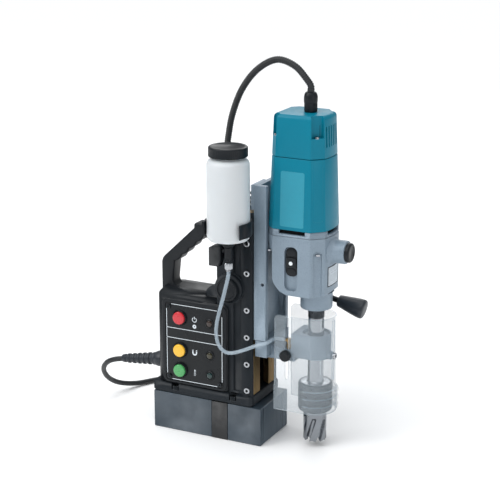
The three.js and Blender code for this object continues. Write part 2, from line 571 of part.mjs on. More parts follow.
function buildBracket() {
  const { z0, z1, half, bore } = BRACKET;
  const foot = block(71.5, 89, -35, 35, 128, SLIDE.z0 - GAP);
  const arm = block(80, 124, -half, half, 124, 141);
  const nose = new THREE.Shape();
  nose.moveTo(119, -half);
  nose.lineTo(SPINDLE.x, -half);
  nose.absarc(SPINDLE.x, 0, half, -Math.PI / 2, Math.PI / 2);
  nose.lineTo(119, half);
  const clamp = solid(raise(nose, z0, z1, 0, 12));
  const { x: studX, studZ, guideAngle } = GUARD_SLOTS;
  const stud = bar('y', studX, studZ, -GUARD.outer + GUARD.thick + GAP, -half + 1, 5, 20);
  const lugRadius = 6;
  const lug = new THREE.CylinderGeometry(lugRadius, lugRadius, 5.2, 20);
  lug.rotateZ(-Math.PI / 2);
  lug.translate(half + 1.2, 0, 0);
  lug.rotateZ(THREE.MathUtils.degToRad(guideAngle));
  lug.translate(SPINDLE.x, 0, studZ);
  const recess = bar('z', SPINDLE.x, 0, z1 - 3, z1 + 1, 18, 24);
  const hole = bar('z', SPINDLE.x, 0, z0 - 1, z1 + 1, bore, 24);
  const lower = bar('z', SPINDLE.x, 0, 120, z0, 14, 20);
  add('arbor_bracket', cut(join(foot, cut(arm, lower), clamp, stud, solid(lug)), recess, hole),
    silverPaint);
  add('coolant_fitting', join(
    bar('z', 115.2, -20, 141.3, 152, 2.4, 12),
    bar('z', 115.2, -20, 143.5, 148, 3.4, 6),
    bar('x', -20, 153.4, 110, 115.2, 2.2, 12),
    bar('z', 115.2, -20, 150.4, 156.4, 3, 12)), brass);
}

// ---------- spindle, holder and cutter ----------
function buildSpindle() {
  const { x, radius, arbor, nose, holder, holderTop } = SPINDLE;
  const shaft = turned([
    [0, 276], [radius, 276], [radius, 262], [13.6, 262], [13.6, 242], [radius, 242], [radius, nose],
    [arbor, nose - 1], [arbor, holderTop], [holder - 1.5, holderTop], [holder, holderTop - 1.5],
    [holder, 55], [holder - 1.5, 53], [10, 53], [10, 86], [0, 86]], x, 0, 28);
  const drift = block(x + 6.5, x + 20, -4, 4, 171, 184);
  const setScrew = bar('x', 0, 72, x + holder - 6, x + holder + 4, 4, 16);
  add('spindle', cut(solid(shaft), drift, setScrew), steel);

  const { radius: cutterRadius, z0, z1, teeth } = CUTTER;
  const shank = bar('z', x, 0, z1 - 0.5, 84, 9.5, 20);
  const shell = cut(bar('z', x, 0, z0, z1, cutterRadius, 30),
    bar('z', x, 0, z0 - 1, z1 - 9, 11.6, 20));
  let cutter = join(shell, shank);
  const twist = 0.9;
  const fluteHeight = z1 - z0 - 10;
  for (let i = 0; i < teeth; i += 1) {
    const flute = new THREE.BoxGeometry(4.4, 6.5, fluteHeight, 1, 1, 4);
    flute.translate(cutterRadius + 0.6, 0, z0 + fluteHeight / 2 - 0.5);
    const position = flute.attributes.position;
    for (let k = 0; k < position.count; k += 1) {
      const angle = (2 * Math.PI * i) / teeth + twist * (position.getZ(k) - z0) / (z1 - z0);
      const px = position.getX(k);
      const py = position.getY(k);
      position.setX(k, px * Math.cos(angle) - py * Math.sin(angle));
      position.setY(k, px * Math.sin(angle) + py * Math.cos(angle));
    }
    flute.translate(x, 0, 0);
    cutter = cutter.subtract(solid(flute));
  }
  add('annular_cutter', cutter, steel);
}

// ---------- guard ----------
function guardPlan(outer, inner) {
  const shape = new THREE.Shape();
  shape.moveTo(GUARD.x0, -outer);
  shape.lineTo(SPINDLE.x, -outer);
  shape.absarc(SPINDLE.x, 0, outer, -Math.PI / 2, Math.PI / 2);
  shape.lineTo(GUARD.x0, outer);
  shape.lineTo(GUARD.x0, inner);
  shape.lineTo(SPINDLE.x, inner);
  shape.absarc(SPINDLE.x, 0, inner, Math.PI / 2, -Math.PI / 2, true);
  shape.lineTo(GUARD.x0, -inner);
  return shape;
}

function buildGuard() {
  const { outer, thick, z0, z1, step } = GUARD;
  const { x: slotX, z0: slotBase, z1: slotTop, half, studZ, guideAngle, guideHeight } = GUARD_SLOTS;
  let body = solid(raise(guardPlan(outer, outer - thick), z0, z1, 0, 10));
  const skirt = solid(raise(guardPlan(outer + 1.2, outer - 0.2), z0, step, 0, 10));
  body = body.add(skirt);
  const { count, height, pitch, reach } = GUARD_RIBS;
  const crest = outer + reach;
  const ribShape = new THREE.Shape();
  ribShape.moveTo(SPINDLE.x - 8, -crest);
  ribShape.lineTo(SPINDLE.x, -crest);
  ribShape.absarc(SPINDLE.x, 0, crest, -Math.PI / 2, Math.PI / 2);
  ribShape.lineTo(SPINDLE.x - 8, crest);
  for (let i = 0; i < count; i += 1) {
    const base = z0 + 2.6 + i * pitch;
    const rib = cut(solid(raise(ribShape, base, base + height, 2.6, 10)),
      solid(raise(guardPlan(outer + 0.6, 0.01), base - 1, base + height + 1, 0, 10)),
      block(SPINDLE.x - 20, SPINDLE.x + 20, -outer, outer, base - 1, base + height + 1));
    body = body.add(rib);
  }
  const corner = (y) => spread(outline([
    [GUARD.x0 - 1, z1 + 1], [GUARD.x0 + 6, z1 + 1], [GUARD.x0 - 1, z1 - 6]]), y - 4, y + 4);
  const slot = spread(roundedRect(slotX - half, slotX + half, slotBase, slotTop, half - 0.1),
    -outer - 3, -outer + 3);
  const guideSlot = new THREE.BoxGeometry(8, 2 * half + 0.2, guideHeight);
  guideSlot.translate(outer, 0, 0);
  guideSlot.rotateZ(THREE.MathUtils.degToRad(guideAngle));
  guideSlot.translate(SPINDLE.x, 0, (slotBase + slotTop) / 2);
  add('chip_guard', cut(body, solid(corner(-outer)), solid(corner(outer)), solid(slot),
    solid(guideSlot)), clearPlastic);

  const outside = -outer - GAP;
  add('guard_knob', join(
    bar('y', slotX, studZ, outside - 7.5, outside, 7.8, 20),
    bar('y', slotX, studZ, outside - 8.6, outside - 7.5, 6.8, 20, 7.8),
    bar('y', slotX, studZ, outside - 1, -outer + thick - 0.4, 1.9, 12)), blackPlastic);
}

// ---------- feed capstan ----------
function buildFeed() {
  const { x, z, radius, teeth } = PINION;
  const gear = new THREE.Shape();
  for (let i = 0; i < teeth; i += 1) {
    const at = (share, r) => {
      const angle = (2 * Math.PI * (i + share)) / teeth;
      return [x + r * Math.cos(angle), z + r * Math.sin(angle)];
    };
    if (i === 0) gear.moveTo(...at(0.05, radius - 2.4));
    else gear.lineTo(...at(0.05, radius - 2.4));
    gear.lineTo(...at(0.3, radius));
    gear.lineTo(...at(0.7, radius));
    gear.lineTo(...at(0.95, radius - 2.4));
  }
  const shaft = bar('y', x, z, -43.9, FEED.y + 6, 7.9, 24);
  add('feed_pinion', join(solid(spread(gear, -8, 8)), shaft), darkSteel);
  const hubSolids = [cut(
    join(bar('y', x, z, 42.3, FEED.y + 12, 17, 24),
      bar('y', x, z, FEED.y + 12, FEED.y + 15, 17, 24, 14)),
    bar('y', x, z, 40, FEED.y + 6.4, 8.3, 24))];
  const cant = Math.atan2(FEED.tipY - FEED.y, FEED.tip);
  for (let i = 0; i < 3; i += 1) {
    const angle = THREE.MathUtils.degToRad(FEED.first + 120 * i);
    const place = (geometry) => {
      geometry.rotateZ(cant);
      geometry.rotateY(-angle);
      geometry.translate(x, FEED.y + 1, z);
      return geometry;
    };
    const rod = new THREE.CylinderGeometry(FEED.rod, FEED.rod, FEED.neck - 2, 12);
    rod.rotateZ(-Math.PI / 2);
    rod.translate(10 + (FEED.neck - 2) / 2, 0, 0);
    hubSolids.push(solid(place(rod)));
    const profile = [
      [0, FEED.tip], [FEED.knob1 - 3, FEED.tip], [FEED.knob1, FEED.tip - 3.4],
      [FEED.knob1 - 1, FEED.tip - 9], [FEED.knob0, FEED.neck + 3], [FEED.knob0 - 1.2, FEED.neck],
      [FEED.rod + 0.4, FEED.neck], [FEED.rod + 0.4, FEED.neck + 12], [0, FEED.neck + 12]];
    const knob = lathe(profile, 16);
    knob.rotateZ(-Math.PI / 2);
    add(`feed_knob_${i + 1}`, place(knob), rubber);
  }
  add('feed_hub', join(...hubSolids), darkSteel);
}

// ---------- cords ----------
function buildCords() {
  const slope = THREE.MathUtils.degToRad(9);
  const length = 70;
  const profile = [[0, -1], [11, -1], [11, 3], [9.4, 4.5]];
  const ribs = 6;
  for (let i = 0; i < ribs; i += 1) {
    const s = 7 + i * 10.4;
    const r = THREE.MathUtils.lerp(9.6, 7, i / (ribs - 1));
    profile.push([r - 1.6, s - 1.8], [r, s], [r, s + 4], [r - 1.6, s + 5.8]);
  }
  profile.push([6, length - 1], [5, length], [0, length]);
  const boot = lathe(profile, 14);
  boot.rotateZ(Math.PI / 2);
  boot.rotateY(-slope);
  boot.translate(BOX.x0 - 3.2, CORD.exitY, 92);
  add('strain_relief', boot, rubber);

  const lead = [
    [CORD.exitX - 3.6, CORD.exitY, CORD.exitZ - 0.8], [-166, -14, 77], [-180, -12, 70],
    [-193, -3, 55], [-199, 16, 34], [-196, 42, 16], [-184, 72, 6], [-166, 102, 4.2],
    [-140, 134, 4.1], [-108, 154, 4.1], [-78, 166.5, 4.1], [COILED.x - 9, 171.1, 4.1]];
  add('mains_cord', tube(lead, CORD.radius, 24), rubber);
  const { x, y, inner, outer, height } = COILED;
  add('mains_cord_coil', turned([
    [inner, 0.3], [outer, 0.3], [outer, height + 0.3], [inner, height + 0.3], [inner, 0.3]],
    x, y, 32), rubber);
  const plugX = x + 74;
  const plugY = y + 7;
  const plugZ = 13.8;
  const tail = [
    [x + 48.3, y + 40.5, 17], [x + 59.5, y + 28.5, 15.3], [x + 68.8, y + 18, 14.1],
    [x + 73.4, y + 10, plugZ], [plugX, plugY + 0.4, plugZ]];
  add('mains_cord_tail', tube(tail, CORD.radius, 8), rubber);
  const plugAt = (from, to, radius, endRadius) =>
    bar('y', plugX, plugZ, plugY - to, plugY - from, endRadius, 16, radius);
  const pins = [-7.6, 7.6].map((offset) =>
    bar('y', plugX + offset, plugZ, plugY - 68, plugY - 49, 2.4, 8));
  add('mains_plug', join(plugAt(0, 16, 6, 8), plugAt(15, 46, 10.5, 13.2),
    plugAt(45.5, 50, 13.2, 12), ...pins), blackPlastic);

  const hose = [
    [49.5, -70, 256], [49, -70, 250], [46.5, -70, 239], [40, -68, 217], [33.5, -65, 199],
    [28, -62, 182], [25, -60, 167], [24.5, -57, 152], [28, -55, 141], [36, -53, 134], [44, -52, 134],
    [54, -51, 137], [65, -48, 141.5], [77, -44, 147], [87, -41.5, 150.5], [92.6, -35, 152.4],
    [93.4, -27, 153.3], [97.2, -20.6, 153.4], [103, -20, 153.4], [109.6, -20, 153.4]];
  add('coolant_hose', tube(hose, HOSE_RADIUS, 36, 8), clearPlastic);
  const conduit = [
    [CONDUIT.x, 0, CONDUIT.exitZ], [4.4, 0, 330], [8, 0, 380], [13, 0, 416], [20, 0, 452],
    [36, 0, 490], [60, 0, 518], [87, 0, 531], [112, 0, 524], [127, 0, 510], [134.7, 0, 499.5],
    [134.7, 0, CONDUIT.topZ]];
  add('power_conduit', tube(conduit, CONDUIT.radius, 22, 10), rubber);
}

buildMagnet();
buildFrame();
buildControlBox();
buildHandle();
buildCoolant();
buildSlide();
buildGearbox();
buildMotor();
buildBracket();
buildSpindle();
buildGuard();
buildFeed();
buildCords();

export default press;
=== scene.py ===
"""Looks for the magnetic drill press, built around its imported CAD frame.

Lengths are in millimetres until a mesh is made.
"""
import json
import math

import bmesh
import bpy
from mathutils import Matrix, Vector

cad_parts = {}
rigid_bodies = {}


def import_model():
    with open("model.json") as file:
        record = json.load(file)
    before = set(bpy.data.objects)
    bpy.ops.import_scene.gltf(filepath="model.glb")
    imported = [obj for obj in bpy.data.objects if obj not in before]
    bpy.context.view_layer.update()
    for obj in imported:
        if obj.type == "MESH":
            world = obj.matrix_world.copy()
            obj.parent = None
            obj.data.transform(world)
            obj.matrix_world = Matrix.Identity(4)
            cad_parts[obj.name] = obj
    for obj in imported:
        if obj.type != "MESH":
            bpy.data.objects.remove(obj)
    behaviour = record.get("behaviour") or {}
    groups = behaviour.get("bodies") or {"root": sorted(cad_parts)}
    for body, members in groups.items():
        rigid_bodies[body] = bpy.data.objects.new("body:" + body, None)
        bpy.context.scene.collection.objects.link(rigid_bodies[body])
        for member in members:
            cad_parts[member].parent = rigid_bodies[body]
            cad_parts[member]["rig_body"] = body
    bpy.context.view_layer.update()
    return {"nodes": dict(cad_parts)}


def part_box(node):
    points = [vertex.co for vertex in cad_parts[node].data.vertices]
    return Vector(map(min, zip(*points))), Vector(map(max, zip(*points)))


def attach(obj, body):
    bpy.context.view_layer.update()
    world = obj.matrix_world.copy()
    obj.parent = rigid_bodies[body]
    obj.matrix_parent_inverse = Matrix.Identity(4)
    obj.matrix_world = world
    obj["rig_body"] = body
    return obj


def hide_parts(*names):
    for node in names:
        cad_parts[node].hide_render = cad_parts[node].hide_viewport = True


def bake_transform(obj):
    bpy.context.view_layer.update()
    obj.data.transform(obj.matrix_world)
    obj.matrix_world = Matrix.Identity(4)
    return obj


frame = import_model()
MM = 0.001
TAU = 2 * math.pi
UP, DOWN, NEAR, FORWARD = (0, 0, 1), (0, 0, -1), (0, -1, 0), (1, 0, 0)
scene = bpy.context.scene


# ---------- camera ----------
def make_camera():
    data = bpy.data.cameras.new("view")
    data.lens = 106.0
    data.sensor_width = 36.0
    camera = bpy.data.objects.new("view", data)
    camera.location = (0.9065, -1.7266, 0.8345)
    camera.rotation_euler = (math.radians(90 - 16.40), 0, math.radians(26.48))
    scene.collection.objects.link(camera)
    scene.camera = camera


make_camera()


# ---------- mesh helpers ----------
def lerp(a, b, share):
    return a + (b - a) * share


def corners(node):
    """A CAD node's lowest and highest corners, in millimetres."""
    low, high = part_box(node)
    return low / MM, high / MM


def middle(node):
    """A CAD node's middle, in millimetres."""
    return [(a + b) / 2 for a, b in zip(*corners(node))]


def at(x, y, z, toward=UP):
    """A place whose own Z points toward that direction."""
    turn = Vector(UP).rotation_difference(Vector(toward))
    return Matrix.Translation((x, y, z)) @ turn.to_matrix().to_4x4()


def near_face(node):
    """The place at the back of a node that faces the near side, and the node's depth."""
    low, high = corners(node)
    x, _, z = middle(node)
    return at(x, high.y, z, NEAR), high.y - low.y


def bridge(bm, a, b, closed=True):
    """Faces between two rings of vertices, either of which may be a single point."""
    count = max(len(a), len(b))
    for i in range(count if closed else count - 1):
        j = (i + 1) % count
        quad = [a[i % len(a)], a[j % len(a)], b[j % len(b)], b[i % len(b)]]
        face = list(dict.fromkeys(quad))
        if len(face) > 2:
            bm.faces.new(face)


def stack(bm, rings):
    """Faces between each ring and the next, with both ends closed."""
    for a, b in zip(rings, rings[1:]):
        bridge(bm, a, b)
    bm.faces.new(rings[0])
    bm.faces.new(rings[-1])


def lathe(bm, profile, place, steps=64, closed=False, turn=None):
    """A profile of (radius, height) turned round the place's Z. turn(angle, r, h) may change a radius."""
    rings = []
    for r, h in profile:
        if r < 1e-6:
            rings.append([bm.verts.new(place @ Vector((0, 0, h)))])
            continue
        ring = []
        for i in range(steps):
            a = TAU * i / steps
            reach = turn(a, r, h) if turn else r
            ring.append(bm.verts.new(place @ Vector((reach * math.cos(a), reach * math.sin(a), h))))
        rings.append(ring)
    pairs = list(zip(rings, rings[1:]))
    if closed:
        pairs.append((rings[-1], rings[0]))
    for a, b in pairs:
        bridge(bm, a, b)


def soften(points, radius=1.0, steps=4, closed=True):
    """A polyline with its corners rounded. A point may carry its own radius as a third number."""
    out = []
    last = len(points) - 1
    for i, point in enumerate(points):
        here = Vector(point[:2])
        r = point[2] if len(point) > 2 else radius
        if r == 0 or (not closed and i in (0, last)):
            out.append(here)
            continue
        before = Vector(points[i - 1][:2]) - here
        after = Vector(points[(i + 1) % len(points)][:2]) - here
        room = 0.49 * min(before.length, after.length)
        before.normalize()
        after.normalize()
        half = math.acos(max(-1.0, min(1.0, before.dot(after)))) / 2
        if half > math.radians(89.5):
            out.append(here)
            continue
        tangent = min(r / math.tan(half), room)
        r = tangent * math.tan(half)
        centre = here + (before + after).normalized() * (r / math.sin(half))
        start = here + before * tangent - centre
        end = here + after * tangent - centre
        a0 = math.atan2(start.y, start.x)
        sweep = (math.atan2(end.y, end.x) - a0 + math.pi) % TAU - math.pi
        for k in range(steps + 1):
            a = a0 + sweep * k / steps
            out.append(centre + Vector((math.cos(a), math.sin(a))) * r)
    return out


def rectangle(u0, u1, v0, v1, radius, steps=4):
    return soften([(u0, v0), (u1, v0), (u1, v1), (u0, v1)], radius, steps)


def area(shape):
    return sum(a.x * b.y - b.x * a.y for a, b in zip(shape, shape[1:] + shape[:1])) / 2


def inset(shape, depth):
    """A counterclockwise outline moved inwards."""
    out = []
    for i, here in enumerate(shape):
        before = (here - shape[i - 1]).normalized()
        after = (shape[(i + 1) % len(shape)] - here).normalized()
        n1 = Vector((-before.y, before.x))
        n2 = Vector((-after.y, after.x))
        out.append(here + (n1 + n2) * (depth / max(0.3, 1 + n1.dot(n2))))
    return out


PLANES = {
    "xy": lambda u, v, w: Vector((u, v, w)),
    "xz": lambda u, v, w: Vector((u, w, v)),
    "yz": lambda u, v, w: Vector((w, u, v)),
}


def rounded_levels(low, high, bottom, top, steps):
    """Heights with their insets, which round a solid's lower and upper edges."""
    angles = [k / steps * math.pi / 2 for k in range(steps + 1)]
    return ([(low + bottom * (1 - math.cos(a)), bottom * (1 - math.sin(a))) for a in angles]
            + [(high - top * (1 - math.cos(a)), top * (1 - math.sin(a))) for a in reversed(angles)])


def slab(bm, shape, low, high, edge=0.0, plane="xy", steps=3, place=None):
    """A closed outline given thickness between two levels, with rounded edges."""
    shape = [Vector(p[:2]) for p in shape]
    shape = [p for i, p in enumerate(shape) if (p - shape[i - 1]).length > 1e-5]
    if area(shape) < 0:
        shape.reverse()
    levels = rounded_levels(low, high, edge, edge, steps) if edge > 0 else [(low, 0), (high, 0)]
    rings = []
    for level, depth in levels:
        outline = inset(shape, depth) if depth else shape
        points = [PLANES[plane](p.x, p.y, level) for p in outline]
        rings.append([bm.verts.new(place @ p if place else p) for p in points])
    stack(bm, rings)


def curve_points(points, step):
    """Points a step apart on a smooth curve through the given ones."""
    knots = [Vector(p) for p in points]
    dense = []
    last = len(knots) - 1
    for i in range(last):
        p0 = knots[max(i - 1, 0)]
        p1, p2 = knots[i], knots[i + 1]
        p3 = knots[min(i + 2, last)]
        if i == 0:
            p0 = p1 * 2 - p2
        if i + 1 == last:
            p3 = p2 * 2 - p1
        t01 = max((p1 - p0).length, 1e-6) ** 0.5
        t12 = max((p2 - p1).length, 1e-6) ** 0.5
        t23 = max((p3 - p2).length, 1e-6) ** 0.5
        m1 = (p2 - p1) + ((p1 - p0) / t01 - (p2 - p0) / (t01 + t12)) * t12
        m2 = (p2 - p1) + ((p3 - p2) / t23 - (p3 - p1) / (t12 + t23)) * t12
        for k in range(16):
            t = k / 16
            h = t * t * t - t * t
            dense.append(p1 * (1 - 3 * t * t + 2 * t ** 3) + p2 * (3 * t * t - 2 * t ** 3)
                         + m1 * (h - t * t + t) + m2 * h)
    dense.append(knots[-1])
    total = sum((b - a).length for a, b in zip(dense, dense[1:]))
    count = max(2, round(total / step))
    out = [dense[0]]
    travelled, target, i = 0.0, total / count, 0
    position = dense[0]
    while len(out) < count and i < len(dense) - 1:
        gap = (dense[i + 1] - position).length
        if travelled + gap >= target:
            position = position.lerp(dense[i + 1], (target - travelled) / gap)
            out.append(position)
            travelled = 0.0
        else:
            travelled += gap
            i += 1
            position = dense[i]
    out.append(dense[-1])
    return out


def tube(bm, points, radius, sides=16, ripple=None):
    """A closed round tube along points. ripple(i, count) is added to the radius at point i."""
    points = [Vector(p) for p in points]
    side = None
    rings = []
    for i, here in enumerate(points):
        ahead = points[min(i + 1, len(points) - 1)] - points[max(i - 1, 0)]
        ahead.normalize()
        if side is None:
            side = ahead.orthogonal().normalized()
        side = (side - ahead * side.dot(ahead)).normalized()
        up = ahead.cross(side)
        r = radius + (ripple(i, len(points)) if ripple else 0)
        rings.append([bm.verts.new(here + (side * math.cos(TAU * k / sides)
                                           + up * math.sin(TAU * k / sides)) * r)
                      for k in range(sides)])
    stack(bm, rings)


def to_object(name, bm, material, crease=32):
    """A Blender object from a mesh in millimetres."""
    bmesh.ops.recalc_face_normals(bm, faces=bm.faces)
    bmesh.ops.scale(bm, vec=(MM, MM, MM), verts=bm.verts)
    mesh = bpy.data.meshes.new(name)
    bm.to_mesh(mesh)
    bm.free()
    mesh.shade_smooth()
    mesh.set_sharp_from_angle(angle=math.radians(crease))
    mesh.materials.append(material)
    obj = bpy.data.objects.new(name, mesh)
    scene.collection.objects.link(obj)
    return obj


def settle(obj, body, nodes=()):
    """Rides a finished object on a body, and hides the CAD nodes it stands for."""
    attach(obj, body)
    if nodes:
        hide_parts(*nodes)
    return obj


def piece(name, bm, material, body, nodes=(), crease=32):
    """A finished piece that rides on a body and may stand for CAD nodes."""
    return settle(to_object(name, bm, material, crease), body, nodes)


def turned(name, profile, place, steps, material, body, slot, nodes=(), crease=32, **how):
    """A finished piece made of one turned profile."""
    bm = bmesh.new()
    lathe(bm, profile, place, steps, **how)
    return piece(name, bm, material, body, nodes, crease)


def cutter(shape, low, high, plane="xy", place=None):
    """A sharp-edged solid to take out of another."""
    bm = bmesh.new()
    slab(bm, shape, low, high, plane=plane, place=place)
    return to_object("cutter", bm, SHADE_AND_TRIM_BLACK)


def bore(place, radius, low, high, steps):
    """A round solid to take out of another."""
    bm = bmesh.new()
    lathe(bm, [(0, low), (radius, low), (radius, high), (0, high)], place, steps)
    return to_object("bore", bm, SHADE_AND_TRIM_BLACK)


def carve(obj, *cutters):
    """Takes the cutters' meshes out of the object, then removes the cutters."""
    for cutter in cutters:
        modifier = obj.modifiers.new("carve", "BOOLEAN")
        modifier.operation = "DIFFERENCE"
        modifier.solver = "EXACT"
        modifier.object = cutter
        graph = bpy.context.evaluated_depsgraph_get()
        graph.update()
        mesh = bpy.data.meshes.new_from_object(obj.evaluated_get(graph))
        obj.modifiers.remove(modifier)
        old = obj.data
        obj.data = mesh
        bpy.data.meshes.remove(old)
        bpy.data.objects.remove(cutter)
    obj.data.set_sharp_from_angle(angle=math.radians(32))


def eased(node, width, material, body=None, sharp=28, segments=2, crease=32):
    """A CAD solid with its hard edges rounded, standing for that solid."""
    bm = bmesh.new()
    bm.from_mesh(frame["nodes"][node].data)
    bmesh.ops.scale(bm, vec=(1 / MM, 1 / MM, 1 / MM), verts=bm.verts)
    bmesh.ops.remove_doubles(bm, verts=bm.verts, dist=0.002)
    bmesh.ops.dissolve_limit(bm, angle_limit=math.radians(0.6), verts=bm.verts, edges=bm.edges)
    bmesh.ops.dissolve_degenerate(bm, dist=0.05, edges=bm.edges)

    def roomy(edge):
        """Whether the edges that meet it are long enough for it to be rounded cleanly."""
        near = [e for v in edge.verts for e in v.link_edges if e != edge]
        return min([edge.calc_length()] + [e.calc_length() for e in near]) > width * 1.5

    hard = [e for e in bm.edges
            if len(e.link_faces) == 2 and e.calc_face_angle(0) > math.radians(sharp) and roomy(e)]
    bmesh.ops.bevel(bm, geom=hard, offset=width, offset_type="WIDTH", segments=segments,
                    profile=0.5, affect="EDGES", clamp_overlap=False, miter_outer="ARC",
                    miter_inner="ARC")
    bmesh.ops.triangulate(bm, faces=[f for f in bm.faces if len(f.verts) > 4])
    return piece(node + "_body", bm, material, body or frame["nodes"][node]["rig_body"], [node],
                 crease)


# ---------- materials ----------
def srgb(r, g, b):
    """A screen colour in 0 to 255 as the linear colour a shader takes."""
    def linear(c):
        c /= 255
        return c / 12.92 if c <= 0.04045 else ((c + 0.055) / 1.055) ** 2.4
    return (linear(r), linear(g), linear(b), 1.0)


def shade(color, factor):
    return tuple(min(1.0, c * factor) for c in color[:3]) + (1.0,)


class Finish:
    """One procedural material: a Principled shader with colour, roughness and relief from noise."""

    def __init__(self, name, color, roughness, metallic=0.0):
        self.material = bpy.data.materials.new(name)
        self.material.use_nodes = True
        self.tree = self.material.node_tree
        self.shader = self.tree.nodes["Principled BSDF"]
        self.color = color
        self.roughness = roughness
        self.set(Base_Color=color, Roughness=roughness, Metallic=metallic)
        self.coordinates = self.node("ShaderNodeTexCoord").outputs["Object"]

    def node(self, kind, inputs=(), **settings):
        """A shader node with its settings, and its inputs as plain values or sockets to link."""
        made = self.tree.nodes.new(kind)
        for key, value in settings.items():
            setattr(made, key, value)
        for key, value in dict(inputs).items():
            if isinstance(value, bpy.types.NodeSocket):
                self.tree.links.new(value, made.inputs[key])
            else:
                made.inputs[key].default_value = value
        return made

    def noise(self, scale, detail=3.0, rough=0.55, stretch=None):
        """Noise, which three scale numbers can stretch along an axis."""
        place = self.coordinates
        if stretch:
            place = self.node("ShaderNodeMapping", {"Scale": stretch, "Vector": place}).outputs["Vector"]
        return self.node("ShaderNodeTexNoise", {"Scale": scale, "Detail": detail, "Roughness": rough,
                                                "Vector": place}).outputs["Fac"]

    def cells(self, scale):
        return self.node("ShaderNodeTexVoronoi", {"Scale": scale, "Smoothness": 0.6,
                                                  "Vector": self.coordinates},
                         feature="SMOOTH_F1").outputs["Distance"]

    def span(self, source, low, high, start=0.3, end=0.7):
        """A source that goes from low to high while it goes from start to end."""
        return self.node("ShaderNodeMapRange", {"From Min": start, "From Max": end, "To Min": low,
                                                "To Max": high, "Value": source}).outputs["Result"]

    def mix(self, factor, color):
        """Mixes another colour over the present one, by a factor from 0 to 1."""
        socket = self.shader.inputs["Base Color"]
        below = socket.links[0].from_socket if socket.is_linked else self.color
        made = self.node("ShaderNodeMix", {0: factor, 6: below, 7: color}, data_type="RGBA")
        self.tree.links.new(made.outputs[2], socket)

    def mottle(self, scale, factor, amount=0.6, stretch=None, start=0.35, end=0.7):
        """Patches of a lighter or darker tone."""
        self.mix(self.span(self.noise(scale, 4.0, 0.6, stretch), 0, amount, start, end),
                 shade(self.color, factor))

    def uneven(self, scale, spread, stretch=None):
        """Roughness that varies by up to the spread either way."""
        varied = self.span(self.noise(scale, 3.0, 0.5, stretch), self.roughness - spread,
                           self.roughness + spread)
        self.tree.links.new(varied, self.shader.inputs["Roughness"])

    def relief(self, source, strength, distance):
        """A bump from a height."""
        bump = self.node("ShaderNodeBump", {"Strength": strength, "Distance": distance,
                                            "Height": source})
        self.tree.links.new(bump.outputs["Normal"], self.shader.inputs["Normal"])

    def worn(self, color, amount):
        """A rubbed tone along hard edges, broken up by noise."""
        bevel = self.node("ShaderNodeBevel", {"Radius": 0.0012}, samples=4).outputs["Normal"]
        normal = self.node("ShaderNodeNewGeometry").outputs["Normal"]
        facing = self.node("ShaderNodeVectorMath", {0: bevel, 1: normal}, operation="DOT_PRODUCT")
        sharp = self.node("ShaderNodeMath", {0: 1.0, 1: facing.outputs["Value"]}, operation="SUBTRACT")
        edge = self.span(sharp.outputs["Value"], 0, amount, 0.015, 0.14)
        patches = self.span(self.noise(120, 4.0), 0.25, 1.0, 0.35, 0.65)
        patchy = self.node("ShaderNodeMath", {0: edge, 1: patches}, operation="MULTIPLY", use_clamp=True)
        self.mix(patchy.outputs["Value"], color)

    def set(self, **values):
        for key, value in values.items():
            self.shader.inputs[key.replace("_", " ")].default_value = value


def finish(name, color, roughness, metallic=0.0, tones=(), uneven=None, grain=(), bump=(), cells=0,
           worn=None, **values):
    """A material from its tones, uneven gloss, grain or cells in relief, rubbed edges and values."""
    made = Finish(name, srgb(*color), roughness, metallic)
    for tone in tones:
        made.mottle(*tone)
    made.uneven(*uneven)
    made.relief(made.cells(cells) if cells else made.noise(*grain), *bump)
    if worn:
        made.worn(srgb(*worn[0]), worn[1])
    made.set(**values)
    return made.material


def moulded_black(name, color, roughness):
    return finish(name, color, roughness, tones=[(35, 1.3, 0.4)], uneven=(80, 0.06), grain=(1600, 2.0),
                  bump=(0.1, 0.0002), Specular_IOR_Level=0.26)


def dark_steel(name, color):
    return finish(name, color, 0.34, 0.85, tones=[(90, 0.7, 0.5)], uneven=(240, 0.1), grain=(900, 2.0),
                  bump=(0.12, 0.00015), worn=((140, 146, 150), 0.5))


def rubber(name, color, roughness):
    return finish(name, color, roughness, tones=[(50, 1.35, 0.5)], uneven=(160, 0.08),
                  grain=(1400, 3.0), bump=(0.15, 0.0002))


def clear(name, color, alpha, roughness=0.08):
    """Clear plastic as a thin film: mostly see-through, with a gloss and a faint haze."""
    return finish(name, color, roughness, tones=[(30, 0.93, 0.4)], uneven=(45, roughness * 0.5),
                  grain=(90, 2.0), bump=(0.05, 0.0003), Alpha=alpha, Specular_IOR_Level=0.6)


def plain_plastic(name, color, roughness=0.3, coat=0.0):
    return finish(name, color, roughness, tones=[(160, 1.1, 0.4)], uneven=(260, 0.05),
                  grain=(1200, 2.0), bump=(0.08, 0.0002), Coat_Weight=coat)


CAST = finish("cast_black_paint", (27, 32, 37), 0.46, tones=[(28, 1.25, 0.5)], uneven=(60, 0.07),
              grain=(900, 2.0), bump=(0.12, 0.0003), worn=((70, 78, 84), 0.3), Specular_IOR_Level=0.22)
MAGNET = finish("magnet_paint", (42, 54, 64), 0.42, 0.2,
                tones=[(14, 1.28, 0.7, (1, 1, 2.5)), (60, 0.8, 0.35)], uneven=(30, 0.1),
                grain=(240, 5.0, 0.6, (0.3, 0.3, 1)), bump=(0.16, 0.0003), worn=((128, 140, 148), 0.6))
MAGNET_FACE = finish("magnet_ground_face", (96, 108, 118), 0.36, 0.65,
                     tones=[(20, 0.75, 0.6, (1, 1, 0.4))], uneven=(150, 0.12, (1, 1, 0.05)),
                     grain=(700, 3.0, 0.5, (1, 1, 0.06)), bump=(0.25, 0.0002),
                     worn=((165, 172, 178), 0.5))
RESIN = finish("potting_resin", (17, 19, 22), 0.5, tones=[(40, 1.5, 0.5)], uneven=(120, 0.08),
               grain=(350, 3.0), bump=(0.2, 0.0003))
